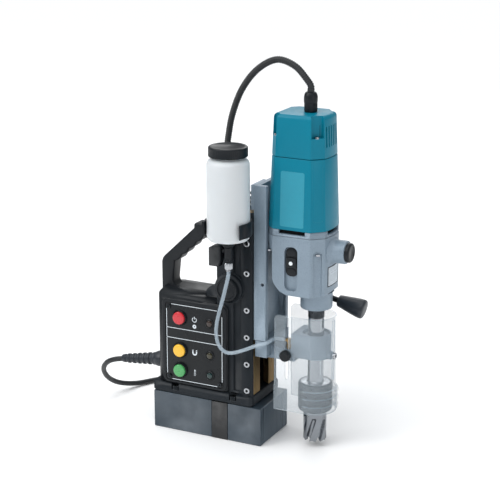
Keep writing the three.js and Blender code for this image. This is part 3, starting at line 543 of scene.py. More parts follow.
BRASS = finish("machined_brass", (168, 140, 98), 0.34, 0.85, tones=[(30, 0.7, 0.6, (1, 1, 0.25))],
               uneven=(200, 0.1, (1, 1, 0.1)), grain=(900, 2.0, 0.5, (1, 1, 0.08)), bump=(0.2, 0.0002),
               worn=((205, 182, 140), 0.5))
SILVER = finish("hammertone_silver", (126, 141, 154), 0.42, 0.15,
                tones=[(520, 1.5, 0.9), (520, 0.62, 0.85, None, 0.5, 0.75), (18, 0.92, 0.5)],
                uneven=(420, 0.08), cells=520, bump=(0.3, 0.0005), worn=((176, 188, 198), 0.4),
                Specular_IOR_Level=0.4)
TEAL = finish("teal_moulding", (0, 118, 142), 0.4, tones=[(22, 1.1, 0.5), (300, 0.94, 0.5)],
              uneven=(70, 0.05), grain=(1300, 2.0), bump=(0.1, 0.00025), worn=((40, 146, 166), 0.25),
              Specular_IOR_Level=0.18, Coat_Weight=0.03, Coat_Roughness=0.25)
STEEL = finish("polished_steel", (176, 179, 183), 0.18, 1.0, tones=[(60, 0.78, 0.5, (1, 1, 3))],
               uneven=(400, 0.07, (0.2, 0.2, 1.6)), grain=(1500, 2.0, 0.5, (0.1, 0.1, 1.5)),
               bump=(0.12, 0.0001))
CUTTER_STEEL = finish("cutter_steel", (138, 142, 147), 0.24, 1.0, tones=[(60, 0.8, 0.4)],
                      uneven=(90, 0.05), grain=(400, 2.0), bump=(0.04, 0.0001))
POLYTHENE = finish("bottle_polythene", (226, 233, 238), 0.38, tones=[(26, 0.96, 0.5, (1, 1, 0.4))],
                   uneven=(90, 0.06), grain=(500, 2.0, 0.5, (1, 1, 0.3)), bump=(0.08, 0.0003),
                   Subsurface_Weight=0.35, Subsurface_Scale=0.012, Subsurface_Radius=(0.9, 1.0, 1.1),
                   Transmission_Weight=0.12)
PLATE = finish("brushed_plate", (176, 186, 194), 0.34, 0.6, tones=[(60, 0.85, 0.5, (1, 0.1, 1))],
               uneven=(300, 0.1, (1, 0.05, 1)), grain=(1200, 2.0, 0.5, (1, 0.04, 1)), bump=(0.15, 0.0001))
BLACK = moulded_black("moulded_black", (21, 25, 29), 0.38)
PANEL_BLACK = moulded_black("panel_film", (20, 23, 26), 0.3)
# Near-black used as painted shade in screw sockets and behind the vents, and as the rating plate's dark
# rim; cutters carry it too.
SHADE_AND_TRIM_BLACK = moulded_black("painted_shade_and_trim_black", (8, 9, 10), 0.8)
DARK = dark_steel("oiled_steel", (70, 74, 78))
BLACK_OXIDE = dark_steel("black_oxide", (34, 38, 42))
COPPER = dark_steel("enamelled_copper", (165, 98, 56))
RUBBER = rubber("black_rubber", (28, 35, 43), 0.4)
CORD_RUBBER = rubber("cord_rubber", (20, 23, 26), 0.46)
GUARD_CLEAR = clear("guard_polycarbonate", (188, 200, 208), 0.2)
GUARD_EDGE = clear("guard_cut_edge", (176, 190, 200), 0.6)
HOSE_CLEAR = clear("hose_pvc", (186, 202, 214), 0.42, 0.12)
RED = plain_plastic("button_red", (196, 40, 50), coat=0.3)
YELLOW = plain_plastic("button_yellow", (240, 184, 52), coat=0.3)
GREEN = plain_plastic("button_green", (74, 158, 92), coat=0.3)
AMBER_LENS = plain_plastic("lens_amber", (40, 24, 16), 0.2, 0.4)
YELLOW_LENS = plain_plastic("lens_yellow", (44, 40, 18), 0.2, 0.4)
GREEN_LENS = plain_plastic("lens_green", (12, 44, 44), 0.2, 0.4)
INK = plain_plastic("printed_white", (214, 222, 228), 0.45)
WHITE_DOT = plain_plastic("selector_dot", (230, 236, 240), 0.35)
DECAL = plain_plastic("motor_decal", (30, 140, 162), 0.4)
BOARD = plain_plastic("board_green", (31, 90, 58), 0.5)


# ---------- cords ----------
CORD_RADIUS = 3.75
CORD_EXIT = (-153.1, -14, 80.2)
COIL_CENTRE = (-50, 112)
COIL_INNER = 36.8
COIL_TURN = 7.55
LEAD = [CORD_EXIT, (-166, -14, 77), (-180, -12, 70), (-193, -3, 55), (-199, 16, 34), (-196, 42, 16),
        (-184, 72, 6), (-166, 102, 4.2), (-140, 134, 4.1), (-108, 154, 4.1), (-78, 166.5, 4.1)]
CORD_FLOOR = 4.1
LEAD_ANGLE = 98.7
TAIL_ANGLE = 40
PLUG = (24, 119, 13.8)
TAIL = [(9.5, 140.5, 15.3), (18.8, 130, 14.1), (23.4, 122, 13.8), PLUG]
BOOT = (-83.2, -14, 92)
HOSE_RADIUS = 2.6
HOSE = [(49.5, -70, 256), (49, -70, 250), (46.5, -70, 239), (40, -68, 217), (33.5, -65, 199),
        (28, -62, 182), (25, -60, 167), (24.5, -57, 152), (28, -55, 141), (36, -53, 134),
        (44, -52, 134), (54, -51, 137), (65, -48, 141.5), (77, -44, 147), (87, -41.5, 150.5),
        (92.6, -35, 152.4), (93.4, -27, 153.3), (97.2, -20.6, 153.4), (103, -20, 153.4),
        (109.6, -20, 153.4)]
CONDUIT_RADIUS = 4.7
CONDUIT = [(4, 0, 318), (4.4, 0, 330), (8, 0, 380), (13, 0, 416), (20, 0, 452), (36, 0, 490),
           (60, 0, 518), (87, 0, 531), (112, 0, 524), (127, 0, 510), (134.7, 0, 499.5),
           (134.7, 0, 493)]


def eased_step(value, start, end):
    share = max(0.0, min(1.0, (value - start) / (end - start)))
    return share * share * (3 - 2 * share)


def wound(turns=8.75, columns=3, points_per_turn=48):
    """The coil's turns, clockwise from above: a layer from outside in, one out and one in again."""
    out = []
    outer = COIL_INNER + (columns - 1) * COIL_TURN
    for i in range(int(turns * points_per_turn)):
        turn = i / points_per_turn
        layer = int(turn // columns)
        within = turn - layer * columns
        step = int(within)
        shift = eased_step(within - step, 0.75, 1.0)
        last = step == columns - 1
        place = step + (0 if last else shift)
        height = layer + (shift if last else 0)
        r = outer - place * COIL_TURN if layer % 2 == 0 else COIL_INNER + place * COIL_TURN
        a = math.radians(LEAD_ANGLE) - TAU * turn
        out.append((COIL_CENTRE[0] + r * math.cos(a), COIL_CENTRE[1] + r * math.sin(a),
                    CORD_FLOOR + height * COIL_TURN))
    return out


def crossing():
    """From the inner turn on top, out over the others in a low hump, to the coil's side."""
    out = []
    count = 28
    top = CORD_FLOOR + 2 * COIL_TURN
    for i in range(count + 1):
        share = i / count
        a = math.radians(lerp(LEAD_ANGLE + 90, TAIL_ANGLE, share))
        r = lerp(COIL_INNER, 63, eased_step(share, 0, 1))
        z = top + COIL_TURN * eased_step(share, 0, 0.25)
        z = lerp(z, 17, eased_step(share, 0.68, 1))
        out.append((COIL_CENTRE[0] + r * math.cos(a), COIL_CENTRE[1] + r * math.sin(a), z))
    return out


def make_plug():
    """A round moulded plug with a ribbed sleeve and two pins, lying beside the coil."""
    x, y, z = PLUG
    grip = [(0, 0), (5.4, 0), (6, 1), (6.2, 3), (5.2, 3.6), (5.2, 5), (6.6, 5.6), (6.9, 8), (5.8, 8.6),
            (5.8, 10), (7.4, 10.6), (8, 14), (9.4, 16.5), (10.8, 19), (12, 30), (12.4, 36),
            (13.2, 40), (13.2, 46.5), (12.6, 48.8), (11.4, 50), (0, 50)]
    plug = turned("mains_plug_body", grip, at(x, y, z, NEAR), 40, BLACK, "base", "black_plastic",
                  ["mains_plug"])
    pin = [(0, 49), (2.4, 49), (2.4, 65.5), (1.6, 67.6), (0, 68)]
    pin_offset = 7.6
    bm = bmesh.new()
    for side in (-1, 1):
        lathe(bm, pin, at(x + side * pin_offset, y, z, NEAR), 16)
    return [plug, piece("mains_plug_pins", bm, STEEL, "base")]


def make_boot():
    """The tapered strain relief, with a collar at the box and ribs towards its tip."""
    start, end, pitch, steps, relief = 13, 63, 8.6, 90, 0.7
    profile = [(0, -1), (10.6, -1), (11.2, 0), (11.2, 9), (10.4, 11), (9.8, 13)]
    for i in range(steps + 1):
        s = lerp(start, end, i / steps)
        wave = 1.4 * math.sin(TAU * (s - start) / pitch)
        profile.append((lerp(9.4, 6.8, i / steps) + max(-relief, min(relief, wave)) - relief, s))
    profile += [(6.2, 64), (5.8, 68), (5.2, 69.6), (4.2, 70), (0, 70)]
    slope = math.radians(9)
    place = at(*BOOT, (-math.cos(slope), 0, -math.sin(slope)))
    return turned("strain_relief_boot", profile, place, 40, RUBBER, "base", "black_rubber",
                  ["strain_relief"])


def make_tie():
    """A flat band that holds the coil's turns together."""
    slack, thick, half_width = 0.4, 0.9, 5
    low, high = COIL_INNER - CORD_RADIUS - slack, COIL_INNER + 2 * COIL_TURN + CORD_RADIUS + slack
    top = CORD_FLOOR + 2 * COIL_TURN + CORD_RADIUS + 0.5
    outside = rectangle(low - thick, high + thick, 0.05, top + thick, 4.5, 6)
    inside = rectangle(low, high, 0.3, top, 3.8, 6)
    turn = Matrix.Translation((*COIL_CENTRE, 0)) @ Matrix.Rotation(math.radians(250), 4, "Z")
    bm = bmesh.new()
    rings = []
    for outline, side in ((outside, -1), (outside, 1), (inside, 1), (inside, -1)):
        rings.append([bm.verts.new(turn @ Vector((p.x, side * half_width, p.y))) for p in outline])
    for a, b in zip(rings, rings[1:] + rings[:1]):
        bridge(bm, a, b)
    return piece("cord_tie", bm, RUBBER, "base")


def make_mains_cord():
    path = curve_points(LEAD + wound() + crossing() + TAIL, 3.5)
    bm = bmesh.new()
    tube(bm, path, CORD_RADIUS, 14)
    flex = piece("mains_flex", bm, CORD_RUBBER, "base",
                 ["mains_cord", "mains_cord_coil", "mains_cord_tail"], 60)
    on_it = make_plug() + [make_boot(), make_tie()]


def make_line(name, node, route, step, radius, sides, material,
              ripple=None):
    """A hose or conduit from the frame to the carriage, as one fixed tube that curves between start and
    end.
    """
    path = curve_points(route, step)
    bm = bmesh.new()
    tube(bm, path, radius, sides, ripple)
    line = to_object(name, bm, material, 60)
    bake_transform(line)
    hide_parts(node)


def conduit_ribs(i, count):
    """Ribs four points apart all along the conduit, apart from its plain ends."""
    plain, half_depth = 6, 0.38
    if min(i, count - 1 - i) < plain:
        return 0.0
    return half_depth * math.cos(TAU * i / 4) - half_depth


make_mains_cord()
make_line("hose_tube", "coolant_hose", HOSE, 2.0, HOSE_RADIUS, 20, HOSE_CLEAR)
make_line("conduit_tube", "power_conduit", CONDUIT, 0.7, CONDUIT_RADIUS, 24, CORD_RUBBER,
          conduit_ribs)


# ---------- repeated pieces ----------
def socket_screw(bm, x, y, z, toward, radius, height, socket, depth):
    """A round head with a rounded rim and a six-sided socket."""
    edge = radius * 0.16
    head = [(0, 0), (radius, 0), (radius, height - edge), (radius - edge * 0.3, height - edge * 0.3),
            (radius - edge, height), (socket, height), (socket, height - depth), (0, height - depth)]

    def hexagon(a, r, h):
        sector = (a + math.pi / 6) % (math.pi / 3) - math.pi / 6
        return r if r > socket else r * math.cos(math.pi / 6) / math.cos(sector)

    lathe(bm, head, at(x, y, z, toward), 40, turn=hexagon)


def hexagon_nut(bm, place, across, low, high, chamfer=0.8):
    """A six-sided nut with chamfered corners: a lathe whose radius follows the flats."""
    corner = across / 2 / math.cos(math.pi / 6)

    def flats(a, r, h):
        sector = a % (math.pi / 3) - math.pi / 6
        flat = across / 2 / math.cos(sector)
        return min(r, flat)

    profile = [(0, low), (across / 2 * 0.96, low), (corner, low + chamfer), (corner, high - chamfer),
               (across / 2 * 0.96, high), (0, high)]
    lathe(bm, profile, place, 72, turn=flats)


def paint_faces(obj, material, test):
    """A second material on the faces whose centre and normal pass the test."""
    index = len(obj.data.materials)
    obj.data.materials.append(material)
    for face in obj.data.polygons:
        if test(face.center / MM, face.normal):
            face.material_index = index


# ---------- magnet and frame ----------
def make_magnet():
    eased("magnet_rear_pole", 0.9, MAGNET)
    front = eased("magnet_front_pole", 0.9, MAGNET)
    paint_faces(front, MAGNET_FACE, lambda c, n: n.x > 0.7)
    eased("magnet_coil", 0.5, RESIN)


def make_frame():
    """The casting with its gibs and their screws, its bolts, the pinion's cover and the column's stud."""
    eased("main_frame", 0.9, CAST)
    for side in ("left", "right"):
        eased(f"gib_{side}", 0.3, BRASS)
    for i in range(1, 7):
        node = f"gib_screw_{i}"
        low, high = corners(node)
        x, _, z = middle(node)
        bm = bmesh.new()
        socket_screw(bm, x, high.y, z, NEAR, 4.4, high.y - low.y, 2.2, 1.8)
        screw = piece(f"{node}_head", bm, STEEL, "base", [node])
        # The socket's faces are painted near-black: painted shade in the recess.
        paint_faces(screw, SHADE_AND_TRIM_BLACK,
                    lambda c, n: math.hypot(c.x - x, c.z - z) < 2.6 and c.y > low.y + 0.2)
    bm = bmesh.new()
    for x in (-49.6, 41):
        for side in (-1, 1):
            socket_screw(bm, x, side * 40.5, 60.5, UP, 5.2, 6.4, 2.7, 3.4)
    piece("flange_bolts", bm, BLACK_OXIDE, "base")
    place, depth = near_face("pinion_cover")
    disc = [(0, 0), (16.3, 0), (16.3, depth - 1.8), (15.8, depth - 0.6), (14.8, depth - 0.1),
            (14.2, depth), (13.4, depth), (13, depth - 0.5), (12.8, depth - 1.3), (5.4, depth - 1.3),
            (4.8, depth - 1.1), (4.2, depth - 1.4), (3.6, depth - 2.2), (0, depth - 2.2)]
    turned("pinion_cover_disc", disc, place, 72, BLACK, "base", "black_plastic", ["pinion_cover"])
    stud = [(0, 0), (4.2, 0), (4.2, 0.6)]
    for i in range(8):
        stud += [(3.2, 1.0 + i), (3.9, 1.5 + i)]
    stud += [(3.2, 9), (2.4, 9.6), (0, 9.6)]
    column_top = corners("main_frame")[1].z
    turned("column_stud", stud, at(62, 0, column_top - 0.2), 24, BLACK_OXIDE, "base", "dark_steel")


# ---------- control box ----------
INK_HEIGHT = 0.12
LINE = 0.85
ICON_X = -17.5
PANEL_PROUD = 1.3


def ink(bm, shape, y, sunk=0.0):
    """A printed shape on a face at y."""
    slab(bm, shape, y - INK_HEIGHT, y + sunk, plane="xz")


def bar(bm, x0, x1, z0, z1, y, sunk=0.0):
    ink(bm, [(x0, z0), (x1, z0), (x1, z1), (x0, z1)], y, sunk)


def ring(bm, x, z, y, outer, inner, start, end, steps=28):
    """A printed arc between two angles in degrees."""
    angles = [math.radians(lerp(start, end, i / steps)) for i in range(steps + 1)]
    shape = [(x + outer * math.cos(a), z + outer * math.sin(a)) for a in angles]
    shape += [(x + inner * math.cos(a), z + inner * math.sin(a)) for a in reversed(angles)]
    ink(bm, shape, y)


def icon_power(bm, x, z, y):
    """A broken ring with a bar."""
    ring(bm, x, z, y, 3.7, 2.8, 125, 415)
    ink(bm, rectangle(x - 0.5, x + 0.5, z + 0.8, z + 4.6, 0.3), y)


def icon_magnet(bm, x, z, y):
    """A horseshoe with its poles marked off."""
    ring(bm, x, z - 0.6, y, 3.8, 1.9, 180, 360)
    for side in (-1, 1):
        a, b = sorted((x + side * 1.9, x + side * 3.8))
        bar(bm, a, b, z - 0.6, z + 1.6, y)
        bar(bm, a, b, z + 2.3, z + 3.6, y)


def icon_drill(bm, x, z, y):
    """A drill bit seen from the side."""
    bar(bm, x - 0.9, x + 0.9, z + 1.4, z + 4, y)
    for i in range(3):
        top = z + 1.0 - i * 1.5
        ink(bm, [(x - 1.5, top - 1.3), (x + 1.5, top - 0.5), (x + 1.5, top), (x - 1.5, top - 0.8)], y)
    ink(bm, [(x, z - 5), (x + 1.2, z - 3.9), (x - 1.2, z - 3.9)], y)


# Each row's name, icon, button and lamp.
CONTROLS = [
    ("power", icon_power, (RED, "red_plastic"), (AMBER_LENS, "lens_amber")),
    ("magnet", icon_magnet, (YELLOW, "yellow_plastic"), (YELLOW_LENS, "lens_yellow")),
    ("drill", icon_drill, (GREEN, "green_plastic"), (GREEN_LENS, "lens_green")),
]


def make_panel():
    """The panel with its bezels, printed lines, icons and screws, and the buttons and lamps in it."""
    low, high = corners("control_panel")
    face = high.y - PANEL_PROUD
    bm = bmesh.new()
    slab(bm, rectangle(low.x, high.x, low.z, high.z, 4, 6), face, high.y, 0.3, "xz")
    for row, *_ in CONTROLS:
        for kind, bezel, height in (("button", 11.6, 3.0), ("lamp", 7.2, 2.0)):
            a, b = corners(f"{kind}_{row}")
            x, _, z = middle(f"{kind}_{row}")
            hole = (b.z - a.z) / 2 + 0.4
            rim = [(hole, 0), (bezel, 0), (bezel - 0.3, height * 0.55), (bezel - 1.1, height - 0.15),
                   (bezel - 1.6, height), (hole + 0.7, height), (hole + 0.2, height - 0.3),
                   (hole, height - 0.9)]
            lathe(bm, rim, at(x, face + 0.1, z, NEAR), 56, closed=True)
    piece("control_panel_plate", bm, PANEL_BLACK, "base", ["control_panel"])

    margin, gap, sunk = 1.2, 8.2, 0.02
    x0, x1, z0, z1 = low.x + margin, high.x - margin, low.z + margin, high.z - margin
    bm = bmesh.new()
    for z in (z0, z1 - LINE):
        bar(bm, x0 + gap, x1 - gap, z, z + LINE, face, sunk)
    for x in (x0, x1 - LINE):
        bar(bm, x, x + LINE, z0 + gap, z1 - gap, face, sunk)
    for z in (138.3, 152.9):
        bar(bm, x0, x1, z - LINE / 2, z + LINE / 2, face, sunk)
    for row, draw, *_ in CONTROLS:
        draw(bm, ICON_X, middle(f"button_{row}")[2], face)
    ring(bm, ICON_X, middle("button_power")[2] - 9.8, face, 2.9, 1.0, 0, 359)
    piece("panel_print", bm, INK, "base")

    inward = 5.2
    bm = bmesh.new()
    for x in (low.x + inward, high.x - inward):
        for z in (low.z + inward, high.z - inward):
            socket_screw(bm, x, face + 0.2, z, NEAR, 3.1, 1.9, 1.5, 1.2)
    piece("panel_screws", bm, BLACK_OXIDE, "base")

    for row, _, (color, slot), _ in CONTROLS:
        place, top = near_face(f"button_{row}")
        cap = [(0, 0), (5, 0), (5, top - 5.2), (9, top - 5.2), (9, top - 1.7), (8.7, top - 1.0),
               (8.0, top - 0.55), (6.5, top - 0.25), (4, top - 0.05), (0, top)]
        turned(f"button_{row}_cap", cap, place, 56, color, f"{row}_button", slot, [f"button_{row}"])
    for row, _, _, (lens, slot) in CONTROLS:
        place, top = near_face(f"lamp_{row}")
        dome = [(0, 0), (2.6, 0), (2.6, top - 2.4), (4.4, top - 2.4), (4.4, top - 1.4),
                (4.1, top - 0.8), (3.2, top - 0.3), (1.8, top - 0.06), (0, top)]
        turned(f"lamp_{row}_lens", dome, place, 40, lens, "base", slot, [f"lamp_{row}"])
    frame["nodes"]["circuit_board"].data.materials[0] = BOARD


def make_box():
    """The box, and the frame that stands proud around its panel."""
    eased("control_box", 1.4, BLACK, crease=40)
    low, high = corners("control_panel")
    margin, gap, proud = 5.6, 0.5, 0.5
    bm = bmesh.new()
    slab(bm, rectangle(low.x - margin, high.x + margin, low.z - 3.6, high.z + margin, 9, 8),
         high.y - PANEL_PROUD - proud, high.y + 1.2, 1.0, "xz")
    bezel = to_object("panel_bezel", bm, BLACK, 40)
    opening = rectangle(low.x - gap, high.x + gap, low.z - gap, high.z + gap, 4.5, 8)
    carve(bezel, cutter(opening, high.y - 6, high.y + 0.1, "xz"))
    settle(bezel, "base")


def make_handle():
    low, high = corners("carry_handle")
    start, end = Vector((-20, 281)), Vector((-66, 239))
    fingers, per_finger, depth = 4, 10, 2.4
    along = end - start
    outward = Vector((along.y, -along.x)).normalized()
    outer = soften([(high.x, 298, 0), (-35, 298, 4), (-35, 290.5, 3), (-87, 240.5, 15), (-87, 178, 5),
                    (-46, 178, 0), (-46, 199, 2), (-69, 201, 14), (-69, 237, 3)], 0, 6, closed=False)
    count = fingers * per_finger
    grip = []
    for i in range(count, -1, -1):
        dip = depth * abs(math.sin(i / per_finger * math.pi))
        grip.append(start + along * (i / count) - outward * dip)
    bm = bmesh.new()
    slab(bm, outer[:-1] + grip + [(-14, 278), (high.x, 278)], low.y, high.y, 2.4, "xz", 4)
    piece("carry_handle_grip", bm, BLACK, "base", ["carry_handle"], 40)


def ribbed(depth, flat, low, high):
    """Shallow grooves round a turned piece, 18 to the turn, between two heights."""
    return lambda a, r, h: r - depth * (math.cos(a * 18) > flat) if low < h < high else r


def make_gland(name, node, body, across, nut_height, dome, steps, ribs):
    """A cable gland: a six-sided nut and a ribbed dome."""
    place = at(middle(node)[0], 0, 0)
    bottom = corners(node)[0].z
    bm = bmesh.new()
    hexagon_nut(bm, place, across, bottom, bottom + nut_height)
    lathe(bm, dome, place, steps, turn=ribs)
    piece(name, bm, BLACK, body, [node])


def make_lower_gland():
    low, high = [corner.z for corner in corners("conduit_gland_lower")]
    dome = [(0, low + 8), (8.0, low + 8), (8.2, low + 9.4), (8.0, low + 15), (7.4, high - 1.4),
            (6.4, high - 0.2), (5.2, high), (0, high)]
    make_gland("conduit_gland_nut", "conduit_gland_lower", "base", 16.3, 8.8, dome, 48,
               ribbed(0.28, 0.6, low + 9, high - 2))


# ---------- coolant ----------
def make_bottle():
    """The bottle with its wall, its knurled cap and the clip that holds it."""
    low, high = corners("coolant_bottle")
    x, y, _ = middle("coolant_bottle")
    z0, top, radius = low.z, high.z, (high.x - low.x) / 2
    shoulder = top - 19
    wall = [(0, z0 + 1.2), (12, z0 + 0.6), (radius - 7, z0), (radius - 3, z0 + 0.7), (radius - 1, z0 + 2.8),
            (radius, z0 + 6.5), (radius, shoulder - 3), (radius - 0.4, shoulder + 1),
            (radius - 1.8, shoulder + 4.6), (radius - 4.6, shoulder + 7), (22.5, shoulder + 8.2),
            (20.9, shoulder + 9), (20.5, shoulder + 11), (20.5, top), (18.8, top),
            (18.8, shoulder + 7.6), (radius - 6, shoulder + 5.2), (radius - 2.4, shoulder + 2),
            (radius - 1.8, shoulder - 3), (radius - 1.8, z0 + 7), (radius - 4, z0 + 3),
            (radius - 8, z0 + 2), (0, z0 + 2.6)]
    turned("bottle_wall", wall, at(x, y, 0), 96, POLYTHENE, "base", "white_hdpe", ["coolant_bottle"], 50)

    low, high = corners("bottle_cap")
    r = (high.x - low.x) / 2
    ribs = 60
    cap = [(21, low.z), (r - 0.6, low.z), (r, low.z + 0.8), (r, low.z + 1.4), (r, high.z - 2.6),
           (r, high.z - 2.2), (r - 0.5, high.z - 0.9), (r - 1.5, high.z - 0.15), (r - 3, high.z),
           (r - 5, high.z), (r - 5.6, high.z - 0.5), (0, high.z - 0.5), (0, high.z - 2.6),
           (21, high.z - 2.6)]

    def knurl(a, reach, h):
        if reach > r - 0.3 and low.z + 1 < h < high.z - 1.5:
            return reach - 0.35 * (0.5 + 0.5 * math.cos(a * ribs))
        return reach

    turned("bottle_cap_shell", cap, at(x, y, 0), 240, BLACK, "cap", "black_plastic", ["bottle_cap"], 40,
           turn=knurl)

    low, high = corners("bottle_clip")
    inner, thick, opening, steps = 29.1, 2.6, math.radians(52), 72
    first, last = opening - math.pi / 2, 1.5 * math.pi - opening
    shape_out, shape_in = [], []
    for i in range(steps + 1):
        a = lerp(first, last, i / steps)
        near_end = min(i, steps - i) / 4
        flare = 3.6 * max(0.0, 1 - near_end) ** 1.6
        for shape, reach in ((shape_out, inner + thick + flare), (shape_in, inner + flare)):
            shape.append((x + reach * math.cos(a), y + reach * math.sin(a)))
    bm = bmesh.new()
    slab(bm, shape_out + shape_in[::-1], low.z, high.z, 0.5, "xy", 2)
    slab(bm, rectangle(x - 12, x + 12, y + inner + 1, high.y, 0.6), low.z + 2, high.z - 2, 0.5, "xy", 2)
    piece("bottle_clip_band", bm, BLACK, "base", ["bottle_clip"])


def make_tap():
    """The tap below the bottle, and the nut that holds the hose to it."""
    x, y, _ = middle("coolant_bottle")
    place = at(x, y, 0)
    low, high = corners("tap_body")
    pivot = 284
    stem = [(0, low.z), (3.4, low.z), (4, low.z + 0.6), (4, low.z + 4), (5.6, low.z + 5.4),
            (5.6, pivot + 5), (4, pivot + 6.2), (4, 290), (7.4, 291), (8, 291.8), (8, high.z - 1.6),
            (7.2, high.z - 0.6), (6, high.z), (0, high.z)]
    bm = bmesh.new()
    lathe(bm, stem, place, 40)
    lathe(bm, [(0, 0), (3, 0), (3, 9.4), (2.4, 10), (0, 10)], at(x, y, pivot, (-1, 0, 0)), 28)
    piece("tap_stem", bm, BLACK, "base", ["tap_body"])
    eased("tap_lever", 0.7, BLACK)
    low, high = corners("hose_nut")
    bm = bmesh.new()
    hexagon_nut(bm, place, 10.2, 259.5, high.z, 0.7)
    lathe(bm, [(0, low.z), (3.3, low.z), (3.8, low.z + 0.5), (3.8, low.z + 1.2), (3.2, low.z + 1.6),
               (3.8, low.z + 2.2), (3.8, 260.2), (0, 260.2)], place, 32)
    piece("hose_nut_hex", bm, STEEL, "base", ["hose_nut"])


make_magnet()
make_frame()
make_box()
make_panel()
make_handle()
make_lower_gland()
make_bottle()
make_tap()


# ---------- drill ----------
DRILL_X = (88, 168)
DRILL_HALF = 38
SPINDLE_X = 146.5
FRONT_CHAMFER, REAR_CHAMFER = 15, 10


def drill_plan(depth=0.0, bulge=6, bulge_steps=16):
    """The drill's outline from above: chamfered corners and a front that swells a little."""
    x0, x1, y = DRILL_X[0] + depth, DRILL_X[1] - depth, DRILL_HALF - depth
    start, end = Vector((x1, -y + FRONT_CHAMFER)), Vector((x1, y - FRONT_CHAMFER))
    peak = Vector((x1 + bulge, 0))
    shape = [Vector((x0 + REAR_CHAMFER, -y)), Vector((x1 - FRONT_CHAMFER, -y))]
    for i in range(bulge_steps + 1):
        t = i / bulge_steps
        shape.append(start * (1 - t) ** 2 + peak * 2 * t * (1 - t) + end * t * t)
    shape += [Vector((x1 - FRONT_CHAMFER, y)), Vector((x0 + REAR_CHAMFER, y)),
              Vector((x0, y - REAR_CHAMFER)), Vector((x0, -y + REAR_CHAMFER))]
    return shape


def corner_frame(sx, sy, spot):
    """A corner's own directions, X along its chamfer and Y straight out of it."""
    return Matrix.Translation(spot) @ Matrix.Rotation(math.atan2(-sx, sy), 4, "Z")


def make_slide():
    eased("carriage_slide", 0.8, SILVER)
    eased("arbor_bracket", 1.0, SILVER)
    frame["nodes"]["feed_rack"].data.materials[0] = DARK
    eased("coolant_fitting", 0.25, BRASS)


def along_curve(z, start, control, end):
    """X where a curve through two points, pulled by a third, reaches a height."""
    low, high = 0.0, 1.0
    for _ in range(30):
        t = (low + high) / 2
        height = start[1] * (1 - t) ** 2 + 2 * control[1] * t * (1 - t) + end[1] * t * t
        if (height > z) == (end[1] < start[1]):
            low = t
        else:
            high = t
    return start[0] * (1 - t) ** 2 + 2 * control[0] * t * (1 - t) + end[0] * t * t


BOSS_LEVEL = 282
FOOT, KNEE, SHOULDER = 223, 244, 281
FRONT_ROUND = 12


def gearbox_back(z):
    """X of the casting's back at a height: it draws in below the knee, and steps out at the shoulder."""
    at_knee, at_shoulder = 98, 93
    if z < KNEE:
        return along_curve(z, (at_knee, KNEE), (104, FOOT + 2), (124, FOOT))
    if z < SHOULDER:
        return lerp(at_knee, at_shoulder, (z - KNEE) / (SHOULDER - KNEE))
    return lerp(at_shoulder, DRILL_X[0], min(1, (z - SHOULDER) / 3))


def gearbox_front(z):
    """X that the casting's front may reach at a height: it is rounded off at its foot."""
    limit = 176
    if z < FOOT + FRONT_ROUND:
        return along_curve(z, (160, FOOT), (174, FOOT + 2), (limit, FOOT + FRONT_ROUND))
    return limit


def make_gearbox_shell():
    """The casting: the drill's outline, drawn in below at the back and front, with its recesses."""
    top = corners("gearbox_housing")[1].z
    plan = soften(drill_plan(), 1.8, 3)
    levels = [FOOT + rise for rise in (0.02, 0.3, 0.8, 1.6, 2.8, 4.5, 7, 11, 16)]
    levels += [KNEE, 262, SHOULDER, SHOULDER + 1.5, SHOULDER + 3, 294, top - 1, top - 0.3, top]
    bm = bmesh.new()
    rings = []
    for z in levels:
        depth = 0.9 * max(0, 1 - (z - FOOT) / 1.6) ** 2 + 0.6 * max(0, z - top + 1) ** 2
        outline = inset(plan, depth) if depth > 0.01 else plan
        rings.append([bm.verts.new((min(max(p.x, gearbox_back(z)), gearbox_front(z)), p.y, z))
                      for p in outline])
    stack(bm, rings)
    shell = to_object("gearbox_shell", bm, SILVER, 38)
    cavity = cutter(rectangle(94, 163, -30, 31, 16, 6), 229, 310)
    selector_recess = cutter(rectangle(116, 135, 230, 291, 7.5, 8), -60, -33.5, "xz")
    corner_recesses = []
    for side in (-1, 1):
        spot = (DRILL_X[1] - FRONT_CHAMFER / 2, side * (DRILL_HALF - FRONT_CHAMFER / 2), 0)
        corner_recesses.append(cutter(rectangle(-6.5, 6.5, -2.6, 12, 2), 200, 284,
                                      place=corner_frame(1, side, spot)))
    spindle_bore = bore(at(SPINDLE_X, 0, 0), 9.2, 215, 232, 48)
    carve(shell, cavity, selector_recess, *corner_recesses, spindle_bore)
    settle(shell, "carriage", ["gearbox_housing"])
    collar = [(9.2, 200), (19.6, 200), (21, 200.6), (21.8, 202), (21.8, 221), (22.4, 223), (24, 224.5),
              (9.2, 224.5)]
    turned("gearbox_collar", collar, at(SPINDLE_X, 0, 0), 72, SILVER, "carriage", "silver_hammertone",
           closed=True)
    boss = [(10, 164), (20.5, 164), (20.5, 168), (18.6, 170.6), (16.8, 172.6), (16, 175), (15.8, 177),
            (15.8, 188.6), (15.3, 190), (14.4, 190.5), (10, 190.5)]
    turned("gearbox_boss", boss, at(0, 0, BOSS_LEVEL, FORWARD), 72, SILVER, "carriage",
           "silver_hammertone", closed=True)


